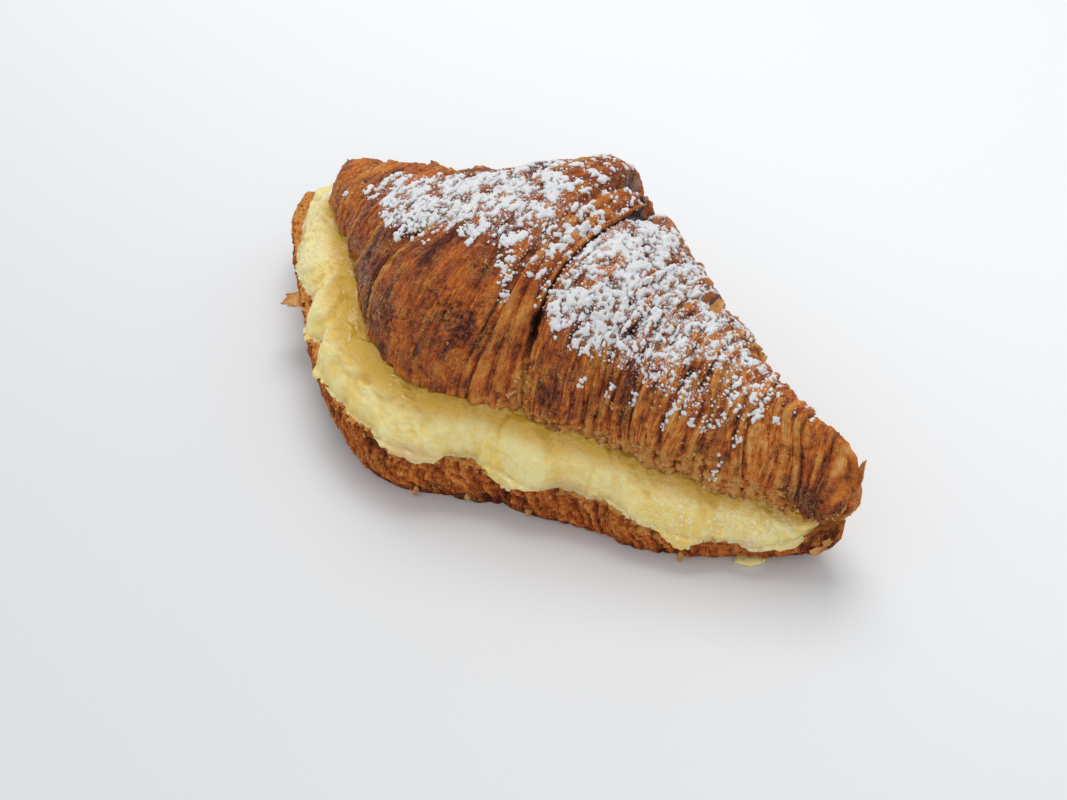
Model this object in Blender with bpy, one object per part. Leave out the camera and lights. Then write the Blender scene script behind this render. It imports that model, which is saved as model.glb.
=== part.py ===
# A filled croissant, cut level like a sandwich roll, with pastry cream between its two halves.
# X runs along its length, -Y is the side it is served from, and it rests on Z = 0.
import math

import bmesh
import bpy
import numpy as np

MM = 0.001

# Upper half: places along the length, from tip to tip, with the value there, in millimetres.
UPPER_TIPS = (-74.0, 85.5)
UPPER_FRONT = [(-74, 4), (-69, -1.5), (-62, -8), (-51, -13.5), (-41, -20.5), (-31, -27.5), (-22, -33.5),
               (-10, -36.5), (2, -36), (12, -31), (24, -26), (36, -22.5), (48, -17.5), (60, -13), (72, -7),
               (85.5, -2)]
UPPER_BACK = [(-74, 13), (-60, 14.5), (-46, 16), (-34, 17), (-22, 23), (-12, 32.5), (-2, 37.5), (8, 35.5),
              (18, 29.5), (30, 24.5), (44, 19), (56, 14), (68, 10), (85.5, 7)]
UPPER_TOP = [(-74, 31.5), (-62, 35), (-48, 42), (-34, 48), (-20, 53.5), (-8, 58.5), (2, 60), (12, 57),
             (24, 52), (38, 47), (52, 42), (66, 37.6), (78, 34), (85.5, 30)]
UPPER_CUT = [(-74, 28), (-40, 27), (0, 26.5), (30, 24), (60, 18.5), (85.5, 14)]
UPPER_TIP_ROUND = (8.0, 8.0)     # at the left tip and at the right one
UPPER_SQUARENESS = 0.9
UPPER_TIP_LEVEL = 0.35      # how far up from the cut towards the top each tip closes
UPPER_POLE_HEIGHTS = (30.5, 20.0)

# Lower half, in the same way. Its cut is the level rim that the cream is spread on.
LOWER_TIPS = (-86.0, 83.5)
LOWER_FRONT = [(-86, 1), (-80, -6.5), (-73, -13), (-60, -22.5), (-48, -31.5), (-40, -37), (-30, -42.8),
               (-20, -46.6), (-9, -48), (0, -46.2), (8, -41.5), (21, -34.5), (37, -29), (53, -23.5),
               (67, -14.5), (76, -7.8), (83.5, -0.8)]
LOWER_BACK = [(-86, 6), (-76, 10), (-60, 13), (-46, 15), (-34, 17), (-22, 24), (-12, 32), (-4, 36),
              (6, 35), (18, 30.5), (30, 25), (44, 18), (56, 12.5), (68, 8.5), (83.5, 5)]
LOWER_CUT = [(-86, 17), (-50, 17), (-19, 16.5), (-5, 16), (10, 14), (25, 12), (45, 11), (60, 8.5),
             (72, 7.8), (78, 9.8), (83.5, 13.2)]
LOWER_FLOOR = [(-86, 6), (-80, 2.2), (-72, 0), (64, 0), (74, 0.6), (79, 1.6), (82, 4.2), (83.5, 7.8)]
LOWER_TIP_ROUND = (6.0, 10.0)
LOWER_POLE_HEIGHTS = (9.0, 10.5)

# How far the foot of each wall of the lower half is tucked in.
FRONT_TUCK = [(-86, 6), (-60, 4.8), (-34, 3.8), (-10, 2.8), (40, 2.4), (60, 3.2), (74, 5), (83.5, 2.4)]
BACK_TUCK = [(-86, 6), (-40, 6.5), (0, 6.5), (40, 5), (76, 3.6), (83.5, 2.4)]
LEAST_FOOT_SHARE = 0.12     # of a wall's distance from the middle, left at its foot
TUCK_POWER = 2.5

# Where one wrap of dough ends and the next begins: at the front edge, at 45 degrees, on top, and behind.
RING_ANGLES = (0, 45, 90, 125, 150)
RINGS = [(-62, -63, -61, -61, -61), (-51, -51, -47, -45.8, -45), (-44, -34, -31, -29, -28),
         (-24.5, -21.5, -7, -3.5, -1), (5.5, 7.7, 8, 5.4, 2), (18, 15.6, 15.5, 12.4, 7),
         (31.7, 31.4, 29, 27.8, 26.5), (42, 39.8, 38, 36.8, 36), (55, 54.2, 53, 52.4, 52),
         (64, 62.9, 61.2, 60, 59), (68, 66.8, 65, 64.1, 63.5), (74.8, 73, 71, 69.5, 68.5),
         (79.5, 78, 77.5, 77.5, 77.5)]
RING_RUN = 0.45       # how far it takes to step from one wrap to the next

# Each wrap: how far its left edge, right edge and belly stand proud, its ridges, their depth, its columns.
WRAPS = [(0.0, -0.6, 0.6, 0, 0.0, 6), (0.4, -0.8, 0.6, 0, 0.0, 4), (0.5, -1.8, 0.5, 0, 0.0, 5),
         (1.3, -2.0, 0.6, 0, 0.0, 6), (1.2, -0.2, 1.2, 0, 0.0, 8), (-1.2, 0.2, 0.0, 4, 1.0, 8),
         (-4.6, -0.6, 1.8, 0, 0.0, 7), (0.4, -0.4, 0.0, 3, 0.9, 6), (-3.4, 0.5, 1.1, 3, 0.6, 6),
         (-1.8, 0.4, 0.6, 2, 0.5, 4), (-1.0, 0.2, 0.3, 0, 0.0, 3), (-1.8, 0.4, 0.5, 2, 0.5, 4),
         (-1.4, 0.2, 0.4, 0, 0.0, 3), (-1.2, 0.0, 0.6, 0, 0.0, 5)]
RING_WAVER = 0.7

# How much of a crease's depth is there, and how wide it opens: at the front edge, up the front, behind.
CREASE_SHARE = [(0, 0.6), (22, 0.6), (42, 0.9), (60, 0.8), (100, 0.85), (126, 1.5), (152, 1.7), (180, 1.2)]
CREASE_FADE = [(0, 1.6), (22, 1.5), (42, 1.8), (58, 1.2), (100, 1.2), (126, 3.2), (152, 4.6), (180, 3.0)]
FULL_WRAP_WIDTH = 6.0   # a narrower wrap stands less proud
LEAST_WRAP_SHARE = 0.35
RIGHT_EDGE_FADE = 1.8

# Broad swellings: place along the length, degrees, how far each reaches in both, and height.
SWELLINGS = [(6, 122, 8, 20, 1.4), (25, 75, 9, 30, 0.8), (-3, 40, 10, 25, 0.7)]

# Unevenness of baked dough: waves per millimetre and per turn, and their phases.
SLOW_WAVE = (0.21, 1.7, 0.4, 0.13, -2.3, 0.0, 0.45)
QUICK_WAVE = (0.47, -3.1, 1.1, 0.31, 4.2, 2.0, 0.3)
LOWER_RELIEF = 0.55
LOWER_UNEVENNESS = 0.6
LOWER_WAVE_TURN = 2.0
BACK_WALL_ANGLE = 150.0

# Pastry cream between the cuts.
CREAM_TIPS = (-82.0, 79.0)
CREAM_TIP_ROUND = (9.0, 4.0)
CREAM_POLE_HEIGHTS = (18.0, 12.0)
CREAM_SETBACK = [(-82, 4.2), (-72, 3.4), (-64, 1.2), (-58, 1.8), (-50, 4.0), (-44, 1.0), (-36, 3.2),
                 (-31, 0.8), (-20, 1.5), (-4, 1.0), (5, 1.4), (12, 3.0), (20, 0.8), (27, 1.0), (36, 2.8),
                 (43, 3.4), (50, 1.0), (60, 0.8), (70, 1.0), (79, 0.8)]
CREAM_BACK_SETBACK = 1.0
CREAM_COLUMNS = 74
CREAM_LUMP = 0.9
CREAM_WAVES = [(0.33, 0.2, 0.0, 1.0), (0.71, -0.35, 1.3, 0.7)]     # per millimetre both ways, phase, height
CREAM_ROUNDNESS = 1.7
CREAM_UNDER_FRONT = 2.5     # how far it reaches back under the upper half, at the front and behind
CREAM_UNDER_BACK = 2.0
CREAM_FACE_DEPTH = 3.0      # the least depth of its front face
CREAM_BACK_LEAN = 1.0
CREAM_BACK_BULGE = 1.2
CREAM_BACK_SHARES = (0.35, 0.7)
CREAM_BACK_FREE = 0.3       # how freely the back face takes the lumps
CREAM_FACE_SHARES = (0.16, 0.34, 0.52, 0.7, 0.86, 0.96)
CREAM_END_SHARE = 0.25      # how much of the gap it fills at its left end, and over what length that grows
CREAM_END_LENGTH = 16.0
CREAM_RIGHT_SHARE = 0.4
CREAM_RIGHT_LENGTH = 6.0
CLEARANCE = 0.3
HALF_CLEARANCE = 0.5        # keeps the front and back of a narrow end apart

# Columns crowd towards the ends of a wrap, and of the cream, by these shares.
EASED_SHARE = 0.6
TIP_CROWDING = 1.5
CREAM_EASED_SHARE = 0.4

LEAST_RADIUS = 2.0      # keeps relief from growing without end near a section's middle
ARCH_POINTS = 23
CUT_POINTS = 5
WALL_POINTS = 5
BED_POINTS = 6

CRUST_COLOUR = (0.33, 0.115, 0.035, 1.0)
BASE_COLOUR = (0.27, 0.098, 0.034, 1.0)
CREAM_COLOUR = (0.80, 0.63, 0.22, 1.0)
CRUST_ROUGHNESS = 0.45
BASE_ROUGHNESS = 0.55
CREAM_ROUGHNESS = 0.4
SHARP_ANGLE = math.radians(40)


# A smooth curve through (place, value) stations, read at any places.
def through(stations, at):
    places = np.array([station[0] for station in stations], float)
    values = np.array([station[1] for station in stations], float)
    spans = np.diff(places)
    slopes = np.diff(values) / spans
    tangents = np.zeros(len(places))
    tangents[0] = slopes[0]
    tangents[-1] = slopes[-1]
    tangents[1:-1] = (slopes[:-1] * spans[1:] + slopes[1:] * spans[:-1]) / (spans[:-1] + spans[1:])
    left = np.clip(np.searchsorted(places, at) - 1, 0, len(places) - 2)
    t = np.clip((at - places[left]) / spans[left], 0, 1)
    start = (1 + 2 * t) * (1 - t) ** 2 * values[left]
    end = t * t * (3 - 2 * t) * values[left + 1]
    leave = t * (1 - t) ** 2 * spans[left] * tangents[left]
    arrive = t * t * (t - 1) * spans[left] * tangents[left + 1]
    return start + end + leave + arrive


# How full a section is near a rounded tip: 0 at the tip, 1 further in than the rounding.
def fullness(at, tips, rounding):
    left = np.clip((at - tips[0]) / rounding[0], 0, 1)
    right = np.clip((tips[1] - at) / rounding[1], 0, 1)
    return np.sqrt(1 - (1 - left) ** 2) * np.sqrt(1 - (1 - right) ** 2)


# Where each ring runs, for angles in degrees, with the two tips as the first and the last ring.
def ring_places(angles, tips):
    rows = [np.full(len(angles), tips[0])]
    for ring in RINGS:
        stretch = tips[0] / UPPER_TIPS[0] if ring[0] < 0 else tips[1] / UPPER_TIPS[1]
        waver = RING_WAVER * np.sin(np.radians(angles) * 4.0 + ring[0])
        rows.append(stretch * through(list(zip(RING_ANGLES, ring)), angles) + waver)
    rows.append(np.full(len(angles), tips[1]))
    return np.array(rows)


# Shares from 0 to 1, crowded towards both ends.
def eased(share, amount):
    return (1 - amount) * share + amount * (0.5 - 0.5 * np.cos(np.pi * share))


# The columns of the loft: for each, its wrap and how far across that wrap it lies.
def wrap_columns():
    columns = []
    last = len(WRAPS) - 1
    for wrap, row in enumerate(WRAPS):
        steps = row[5]
        first_step = 1 if wrap == 0 else 0
        last_step = steps if wrap < last else steps - 1
        for step in range(first_step, last_step + 1):
            across = step / steps
            if wrap == 0:
                across = across ** TIP_CROWDING
            elif wrap == last:
                across = 1 - (1 - across) ** TIP_CROWDING
            elif row[3] == 0:
                across = eased(across, EASED_SHARE)
            columns.append((wrap, across))
    return columns


# How far the points of a column stand proud of the smooth form, on a wrap of the given widths.
def relief(wrap, across, widths, angles):
    left, right, belly, ridges, depth, _ = WRAPS[wrap]
    height = left * through(CREASE_SHARE, angles) * np.exp(-across * widths / through(CREASE_FADE, angles))
    height += right * np.exp(-(1 - across) * widths / RIGHT_EDGE_FADE)
    height += belly * 4 * across * (1 - across)
    if ridges:
        height += depth * (abs(2 * ((across * ridges) % 1.0) - 1) - 0.5)
    return height * np.clip(widths / FULL_WRAP_WIDTH, LEAST_WRAP_SHARE, 1.0)


def wave(x, turn, shape):
    length, winding, phase, other_length, other_winding, other_phase, height = shape
    first = np.sin(length * x + winding * turn + phase)
    return height * first * np.sin(other_length * x + other_winding * turn + other_phase)


# Broad unevenness of baked dough.
def unevenness(x, turn):
    return wave(x, turn, SLOW_WAVE) + wave(x, turn, QUICK_WAVE)


# How far the broad swellings lift the upper half.
def swelling(x, degrees):
    lift = np.zeros(x.shape)
    for place, angle, reach, spread, height in SWELLINGS:
        lift += height * np.exp(-((x - place) / reach) ** 2 - ((degrees - angle) / spread) ** 2)
    return lift


# Points of every column along the given angles, as X and the wrap's relief.
def columns_along(angles, tips):
    places = ring_places(angles, tips)
    xs = []
    heights = []
    for wrap, across in wrap_columns():
        start = places[wrap] + (RING_RUN if wrap > 0 else 0.0)
        xs.append(start + across * (places[wrap + 1] - start))
        heights.append(relief(wrap, across, places[wrap + 1] - start, angles))
    return np.array(xs), np.array(heights)


# Loops of the upper half: over the arch from the front edge to the back edge, then back along the cut.
def upper_loops():
    degrees = np.linspace(0, 180, ARCH_POINTS)
    turn = np.radians(degrees)[None, :]
    x, height = columns_along(degrees, UPPER_TIPS)
    front = through(UPPER_FRONT, x)
    back = through(UPPER_BACK, x)
    cut = through(UPPER_CUT, x)
    top = through(UPPER_TOP, x)
    full = fullness(x, UPPER_TIPS, UPPER_TIP_ROUND)
    reach = (back - front) / 2 * full
    rise = (top - cut) * full
    level = cut + UPPER_TIP_LEVEL * (top - cut) * (1 - full)
    across = -np.cos(turn) * reach
    up = np.sin(turn) ** UPPER_SQUARENESS * rise
    radius = np.hypot(across, up) + LEAST_RADIUS
    height = height + swelling(x, degrees[None, :])
    swell = 1 + (height + unevenness(x, turn)) * full / radius
    arch = np.stack([x, (front + back) / 2 + across * swell, level + up * swell], -1)
    share = np.linspace(0, 1, CUT_POINTS + 2)[1:-1][None, :, None]
    cut_face = arch[:, -1:] + (arch[:, :1] - arch[:, -1:]) * share
    return np.concatenate([arch, cut_face], 1)


# Loops of the lower half: up the front wall, over the cut, down the back wall, along the bed.
def lower_loops():
    up = np.linspace(0, 1, WALL_POINTS)
    front_x, front_height = columns_along(np.zeros(WALL_POINTS), LOWER_TIPS)
    back_x, back_height = columns_along(np.full(WALL_POINTS, BACK_WALL_ANGLE), LOWER_TIPS)
    front = lower_wall(front_x, front_height, up, LOWER_FRONT, LOWER_BACK, FRONT_TUCK)
    back = lower_wall(back_x, back_height, up, LOWER_BACK, LOWER_FRONT, BACK_TUCK)
    share = np.linspace(0, 1, BED_POINTS + 2)[1:-1][None, :, None]
    cut_face = front[:, -1:] + (back[:, -1:] - front[:, -1:]) * share
    bed = back[:, :1] + (front[:, :1] - back[:, :1]) * share
    cut_face[..., 2] = through(LOWER_CUT, cut_face[..., 0])
    bed[..., 2] = floor_height(bed[..., 0])
    return np.concatenate([front, cut_face, back[:, ::-1], bed], 1)


# One wall of the lower half, tucked in at its foot, from the floor up to the cut.
def lower_wall(x, height, up, side, other_side, tuck):
    outer = through(side, x)
    middle = (outer + through(other_side, x)) / 2
    full = fullness(x, LOWER_TIPS, LOWER_TIP_ROUND)
    outward = np.sign(outer - middle)
    distance = np.abs(outer - middle) * full
    proud = LOWER_RELIEF * height + LOWER_UNEVENNESS * unevenness(x, LOWER_WAVE_TURN + up[None, :])
    reach = distance + full * (proud - through(tuck, x) * (1 - up[None, :]) ** TUCK_POWER)
    reach = np.maximum(reach, LEAST_FOOT_SHARE * distance)
    floor = floor_height(x)
    rim = through(LOWER_CUT, x)
    return np.stack([x, middle + outward * reach, floor + (rim - floor) * up[None, :]], -1)


# Loops of the cream: along its bed, up its back face, under the upper half, down its front face.
def cream_loops():
    spread = np.linspace(0, 1, CREAM_COLUMNS + 2)[1:-1]
    x = CREAM_TIPS[0] + (CREAM_TIPS[1] - CREAM_TIPS[0]) * eased(spread, CREAM_EASED_SHARE)
    full = fullness(x, CREAM_TIPS, CREAM_TIP_ROUND)
    setback = through(CREAM_SETBACK, x)
    low_front = through(LOWER_FRONT, x) + setback
    low_back = through(LOWER_BACK, x) - CREAM_BACK_SETBACK
    middle = (low_front + low_back) / 2
    high_front = np.maximum(through(UPPER_FRONT, x) + CREAM_UNDER_FRONT, low_front + CREAM_FACE_DEPTH)
    high_front = np.minimum(high_front, middle - HALF_CLEARANCE)
    high_back = np.minimum(through(UPPER_BACK, x) - CREAM_UNDER_BACK, low_back + CREAM_BACK_LEAN)
    high_back = np.maximum(high_back, middle + HALF_CLEARANCE)
    bed = through(LOWER_CUT, x) + CLEARANCE
    roof = bed + (through(UPPER_CUT, x) - CLEARANCE - bed) * cream_depth(x)
    loops = []
    for column in range(len(x)):
        points = []
        for share in np.linspace(0, 1, BED_POINTS):
            points.append((low_front[column] + share * (low_back[column] - low_front[column]), 0.0, 0.0))
        for share in CREAM_BACK_SHARES:
            bulge = CREAM_BACK_BULGE * math.sin(math.pi * share)
            lean = share * (high_back[column] - low_back[column])
            points.append((low_back[column] + lean + bulge, share, CREAM_BACK_FREE))
        for share in np.linspace(0, 1, BED_POINTS):
            points.append((high_back[column] + share * (high_front[column] - high_back[column]), 1.0, 0.0))
        for share in CREAM_FACE_SHARES:
            height = (1 - share ** CREAM_ROUNDNESS) ** (1 / CREAM_ROUNDNESS)
            face = high_front[column] + share * (low_front[column] - high_front[column])
            points.append((face, height, math.sin(math.pi * share)))
        loop = []
        for y, height, free in points:
            lump = CREAM_LUMP * free * cream_lumps(x[column], y)
            y = middle[column] + (y - middle[column]) * full[column] - lump
            z = bed[column] + (roof[column] - bed[column]) * min(height, 1.0)
            loop.append((x[column], y, z))
        loops.append(loop)
    return np.array(loops)


# The underside: flat where it rests, straight up to the curled tips.
def floor_height(x):
    places = [station[0] for station in LOWER_FLOOR]
    heights = [station[1] for station in LOWER_FLOOR]
    return np.interp(x, places, heights)


# How much of the gap between the halves the cream fills: all of it, but for the left end.
def cream_depth(x):
    t = np.clip((x - CREAM_TIPS[0]) / CREAM_END_LENGTH, 0, 1)
    end = np.clip((CREAM_TIPS[1] - x) / CREAM_RIGHT_LENGTH, 0, 1)
    left = CREAM_END_SHARE + (1 - CREAM_END_SHARE) * t * t * (3 - 2 * t)
    return left * (CREAM_RIGHT_SHARE + (1 - CREAM_RIGHT_SHARE) * end)


# Broad lumps of the cream's free faces, as two crossing waves of about 16 and 8 mm.
def cream_lumps(x, y):
    total = 0.0
    for along, across, phase, height in CREAM_WAVES:
        total += height * math.sin(along * x + across * y + phase)
    return total


# A closed body skinned over its loops, with a point at each tip.
def skin(name, loops, tips, tip_heights, material, collection):
    columns, count = loops.shape[:2]
    mesh_data = bmesh.new()
    grid = []
    for loop in loops:
        grid.append([mesh_data.verts.new(tuple(point * MM)) for point in loop])
    for column in range(columns - 1):
        for place in range(count):
            after = (place + 1) % count
            mesh_data.faces.new((grid[column][place], grid[column + 1][place],
                                 grid[column + 1][after], grid[column][after]))
    for side, tip, height in ((0, tips[0], tip_heights[0]), (-1, tips[1], tip_heights[1])):
        centre_y = float(np.mean(loops[side][:, 1]))
        pole = mesh_data.verts.new((tip * MM, centre_y * MM, height * MM))
        for place in range(count):
            mesh_data.faces.new((grid[side][place], grid[side][(place + 1) % count], pole))
    bmesh.ops.recalc_face_normals(mesh_data, faces=mesh_data.faces)
    bmesh.ops.triangulate(mesh_data, faces=mesh_data.faces, quad_method="SHORT_EDGE")
    mesh = bpy.data.meshes.new(name)
    mesh_data.to_mesh(mesh)
    mesh_data.free()
    mesh.shade_smooth()
    mesh.set_sharp_from_angle(angle=SHARP_ANGLE)
    piece = bpy.data.objects.new(name, mesh)
    piece.data.materials.append(material)
    collection.objects.link(piece)
    return piece


def food_material(name, colour, roughness):
    material = bpy.data.materials.new(name)
    material.use_nodes = True
    shader = material.node_tree.nodes["Principled BSDF"]
    shader.inputs["Base Color"].default_value = colour
    shader.inputs["Roughness"].default_value = roughness
    shader.inputs["Metallic"].default_value = 0.0
    return material


# Moves all pieces together so that the whole is centred over the origin and rests on Z = 0.
def centre_over_origin(pieces):
    points = []
    for piece in pieces:
        points.extend(vertex.co.copy() for vertex in piece.data.vertices)
    low = [min(point[axis] for point in points) for axis in range(3)]
    high = [max(point[axis] for point in points) for axis in range(3)]
    shift = (-(low[0] + high[0]) / 2, -(low[1] + high[1]) / 2, -low[2])
    for piece in pieces:
        for vertex in piece.data.vertices:
            vertex.co = (vertex.co[0] + shift[0], vertex.co[1] + shift[1], vertex.co[2] + shift[2])
    print("moved by", [round(value * 1000, 3) for value in shift])


def build():
    for old in list(bpy.data.objects):
        bpy.data.objects.remove(old, do_unlink=True)
    collection = bpy.data.collections.new("filled_croissant")
    bpy.context.scene.collection.children.link(collection)
    crust = food_material("crust", CRUST_COLOUR, CRUST_ROUGHNESS)
    base = food_material("base_crust", BASE_COLOUR, BASE_ROUGHNESS)
    cream = food_material("cream", CREAM_COLOUR, CREAM_ROUGHNESS)
    pieces = [
        skin("lower_half", lower_loops(), LOWER_TIPS, LOWER_POLE_HEIGHTS, base, collection),
        skin("custard", cream_loops(), CREAM_TIPS, CREAM_POLE_HEIGHTS, cream, collection),
        skin("upper_half", upper_loops(), UPPER_TIPS, UPPER_POLE_HEIGHTS, crust, collection),
    ]
    centre_over_origin(pieces)


build()
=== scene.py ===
import itertools
import math

import bmesh
import bpy
import numpy as np
from mathutils import Matrix, Vector
from mathutils.bvhtree import BVHTree


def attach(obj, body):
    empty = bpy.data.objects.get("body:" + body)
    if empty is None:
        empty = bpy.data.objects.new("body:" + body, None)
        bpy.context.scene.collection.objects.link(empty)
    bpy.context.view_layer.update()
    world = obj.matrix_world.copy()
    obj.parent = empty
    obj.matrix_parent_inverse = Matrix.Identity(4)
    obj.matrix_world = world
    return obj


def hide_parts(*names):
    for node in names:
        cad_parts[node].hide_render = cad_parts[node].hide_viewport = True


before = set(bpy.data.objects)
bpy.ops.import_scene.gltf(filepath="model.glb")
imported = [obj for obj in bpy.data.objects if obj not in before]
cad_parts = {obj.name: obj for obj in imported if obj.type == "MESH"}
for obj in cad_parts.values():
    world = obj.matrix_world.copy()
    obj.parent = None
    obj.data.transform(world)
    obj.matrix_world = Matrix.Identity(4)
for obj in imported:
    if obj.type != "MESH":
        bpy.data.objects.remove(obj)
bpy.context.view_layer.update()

# A croissant cut level like a sandwich roll, filled with pastry cream and dusted with icing sugar.
# Places and sizes are in millimetres on the lofts, front towards -Y, unless a note says otherwise.
mm = 0.001
fromLoft = np.array([0.25, 5.225, 0.0])   # from the lofts' own origin to the frame's
print("frame:", sorted(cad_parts))


# Numbers that vary smoothly.

def smooth(low, high, value):
    t = np.clip((value - low) / (high - low), 0, 1)
    return t * t * (3 - 2 * t)


def through(stations, at):   # a smooth curve through (place, value) stations
    places, values = np.array(stations, float).T
    spans = np.diff(places)
    slopes = np.diff(values) / spans
    tangents = np.zeros(len(places))
    tangents[0], tangents[-1] = slopes[0], slopes[-1]
    tangents[1:-1] = (slopes[:-1] * spans[1:] + slopes[1:] * spans[:-1]) / (spans[:-1] + spans[1:])
    left = np.clip(np.searchsorted(places, at) - 1, 0, len(places) - 2)
    t = np.clip((at - places[left]) / spans[left], 0, 1)
    start = (1 + 2 * t) * (1 - t) ** 2 * values[left]
    end = t * t * (3 - 2 * t) * values[left + 1]
    leave = t * (1 - t) ** 2 * spans[left] * tangents[left]
    arrive = t * t * (t - 1) * spans[left] * tangents[left + 1]
    return start + end + leave + arrive


def straight(stations, at):   # straight lines through the stations
    return np.interp(at, *zip(*stations))


def weighed(shares, fields):   # the sum of named fields, each by its share
    return sum(shares[word] * field for word, field in fields.items())


def fullness(at, tips, rounding):   # how full a section is near a rounded tip
    leftRound, rightRound = np.broadcast_to(rounding, 2)
    left = np.clip((at - tips[0]) / leftRound, 0, 1)
    right = np.clip((tips[1] - at) / rightRound, 0, 1)
    return np.sqrt(1 - (1 - left) ** 2) * np.sqrt(1 - (1 - right) ** 2)


def scramble(key):   # whole numbers to well mixed ones
    key = (key ^ (key >> np.uint64(15))) * np.uint64(0x2C1B3C6D) & np.uint64(0xFFFFFFFF)
    key = (key ^ (key >> np.uint64(12))) * np.uint64(0x297A2D39) & np.uint64(0xFFFFFFFF)
    return key ^ (key >> np.uint64(15))


def latticeKey(seed, corner):
    key = np.full(corner[0].shape, seed * 7919 + 17, np.int64)
    for place, prime in zip(corner, (73856093, 19349663, 83492791)):
        key = key + place * prime
    return scramble((key & 0xFFFFFFFF).astype(np.uint64))


def latticeShare(key, axis):   # 0 to 1, another one for each axis
    return ((key >> np.uint64(10 * axis)) & np.uint64(1023)).astype(float) / 1023


def noise(seed, *axes):   # gradient noise of two or three coordinates, about -1 to 1
    axes = np.broadcast_arrays(*[np.asarray(axis, float) for axis in axes])
    home = [np.floor(axis).astype(np.int64) for axis in axes]
    inside = [axis - cell for axis, cell in zip(axes, home)]
    eased = [t * t * t * (t * (t * 6 - 15) + 10) for t in inside]
    total = np.zeros(axes[0].shape)
    for step in itertools.product((0, 1), repeat=len(axes)):
        key = latticeKey(seed, [cell + move for cell, move in zip(home, step)])
        dot = np.zeros(axes[0].shape)
        weight = np.ones(axes[0].shape)
        for axis, move in enumerate(step):
            dot += (2 * latticeShare(key, axis) - 1) * (inside[axis] - move)
            weight *= eased[axis] if move else 1 - eased[axis]
        total += dot * weight
    return total * 1.9


def noiseAt(seed, size, points):   # the same over a surface, with bumps of one size
    return noise(seed, *np.moveaxis(points / size, -1, 0))


def cells(seed, *axes):   # scattered patches: distance to the middle and to the edge, and a random share
    axes = np.broadcast_arrays(*[np.asarray(axis, float) for axis in axes])
    home = [np.floor(axis).astype(np.int64) for axis in axes]
    nearest = np.full(axes[0].shape, 9.0)
    second = np.full(axes[0].shape, 9.0)
    share = np.zeros(axes[0].shape)
    for step in itertools.product((-1, 0, 1), repeat=len(axes)):
        corner = [cell + move for cell, move in zip(home, step)]
        key = latticeKey(seed, corner)
        away = np.zeros(axes[0].shape)
        for axis, cell in enumerate(corner):
            away += (cell + latticeShare(key, axis) - axes[axis]) ** 2
        away = np.sqrt(away)
        second = np.where(away < nearest, nearest, np.minimum(second, away))
        share = np.where(away < nearest, latticeShare(scramble(key), 1), share)
        nearest = np.minimum(nearest, away)
    return nearest, second - nearest, share


def wrinkles(seed, *axes):   # crumpled, with sharp valleys, about -1 to 1
    broad = np.abs(noise(seed, *axes))
    fine = np.abs(noise(seed + 1, *[2.2 * axis for axis in axes]))
    return 1 - 2.6 * broad - 1.3 * fine


def softened(field, passes):   # evened out along both ways of its grid
    for _ in range(passes):
        field = np.pad(field, 1, mode="edge")
        field = 0.25 * (field[:-2, 1:-1] + field[2:, 1:-1] + field[1:-1, :-2] + field[1:-1, 2:])
    return field


def spots(x, y, places):   # how strongly the places (x, y, x radius, y radius) are felt
    felt = np.zeros(np.broadcast(x, y).shape)
    for centreX, centreY, radiusX, radiusY in places:
        away = ((x - centreX) / radiusX) ** 2 + ((y - centreY) / radiusY) ** 2
        felt = np.maximum(felt, np.exp(-away))
    return felt


# Meshes from loops.

def inFrame(place):   # from millimetres on the lofts to metres in the frame
    return Vector((np.array(place) + fromLoft) * mm)


def between(count):   # shares of the way from one end to the other, without the ends
    return np.linspace(0, 1, count + 2)[1:-1]


def unit(vectors):
    return vectors / (np.linalg.norm(vectors, axis=-1, keepdims=True) + 1e-12)


def gridNormals(points):   # outward, for loops that run up the front, over, and down the back
    return unit(np.cross(np.gradient(points, axis=0), np.gradient(points, axis=1)))


def pathLengths(points):   # how far along each loop its points lie
    steps = np.linalg.norm(np.diff(points, axis=1), axis=-1)
    return np.concatenate([np.zeros((len(points), 1)), np.cumsum(steps, axis=1)], 1)


def linked(name, mesh):
    piece = bpy.data.objects.new(name, mesh)
    bpy.context.scene.collection.objects.link(piece)
    return piece


def ends(part, loops):   # the points that close both tips
    return [(part["tips"][side], loops[side, :, 1].mean(), part["poleHeights"][side]) for side in (0, -1)]


def skin(name, loops, poles, values, u, v):
    columns, rows = loops.shape[:2]
    points = np.concatenate([loops.reshape(-1, 3), np.array(poles, float)]) + fromLoft
    index = np.arange(columns * rows).reshape(columns, rows)
    after = np.roll(index, -1, axis=1)
    quads = np.stack([index[:-1], index[1:], after[1:], after[:-1]], -1).reshape(-1, 4)
    startFan = np.stack([np.full(rows, columns * rows), index[0], after[0]], -1)
    endFan = np.stack([np.full(rows, columns * rows + 1), after[-1], index[-1]], -1)
    mesh = bpy.data.meshes.new(name)
    mesh.from_pydata((points * mm).tolist(), [], quads.tolist() + startFan.tolist() + endFan.tolist())
    for label, value in values.items():
        value = np.broadcast_to(value, (columns, rows))
        flat = np.concatenate([value.reshape(-1), [value[0].mean(), value[-1].mean()]])
        mesh.attributes.new(label, "FLOAT", "POINT").data.foreach_set("value", flat.astype(np.float32))
    u = np.broadcast_to(u, (columns, rows))
    pairs = np.stack([np.append(u.reshape(-1), [u.min(), u.max()]),
                      np.append(v.reshape(-1), [v[0].mean(), v[-1].mean()])], -1)
    corners = np.zeros(len(mesh.loops), np.int32)
    mesh.loops.foreach_get("vertex_index", corners)
    layer = mesh.uv_layers.new(name="along")
    layer.data.foreach_set("uv", (pairs[corners] * mm).astype(np.float32).reshape(-1))
    mesh.shade_smooth()
    return linked(name, mesh)


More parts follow.
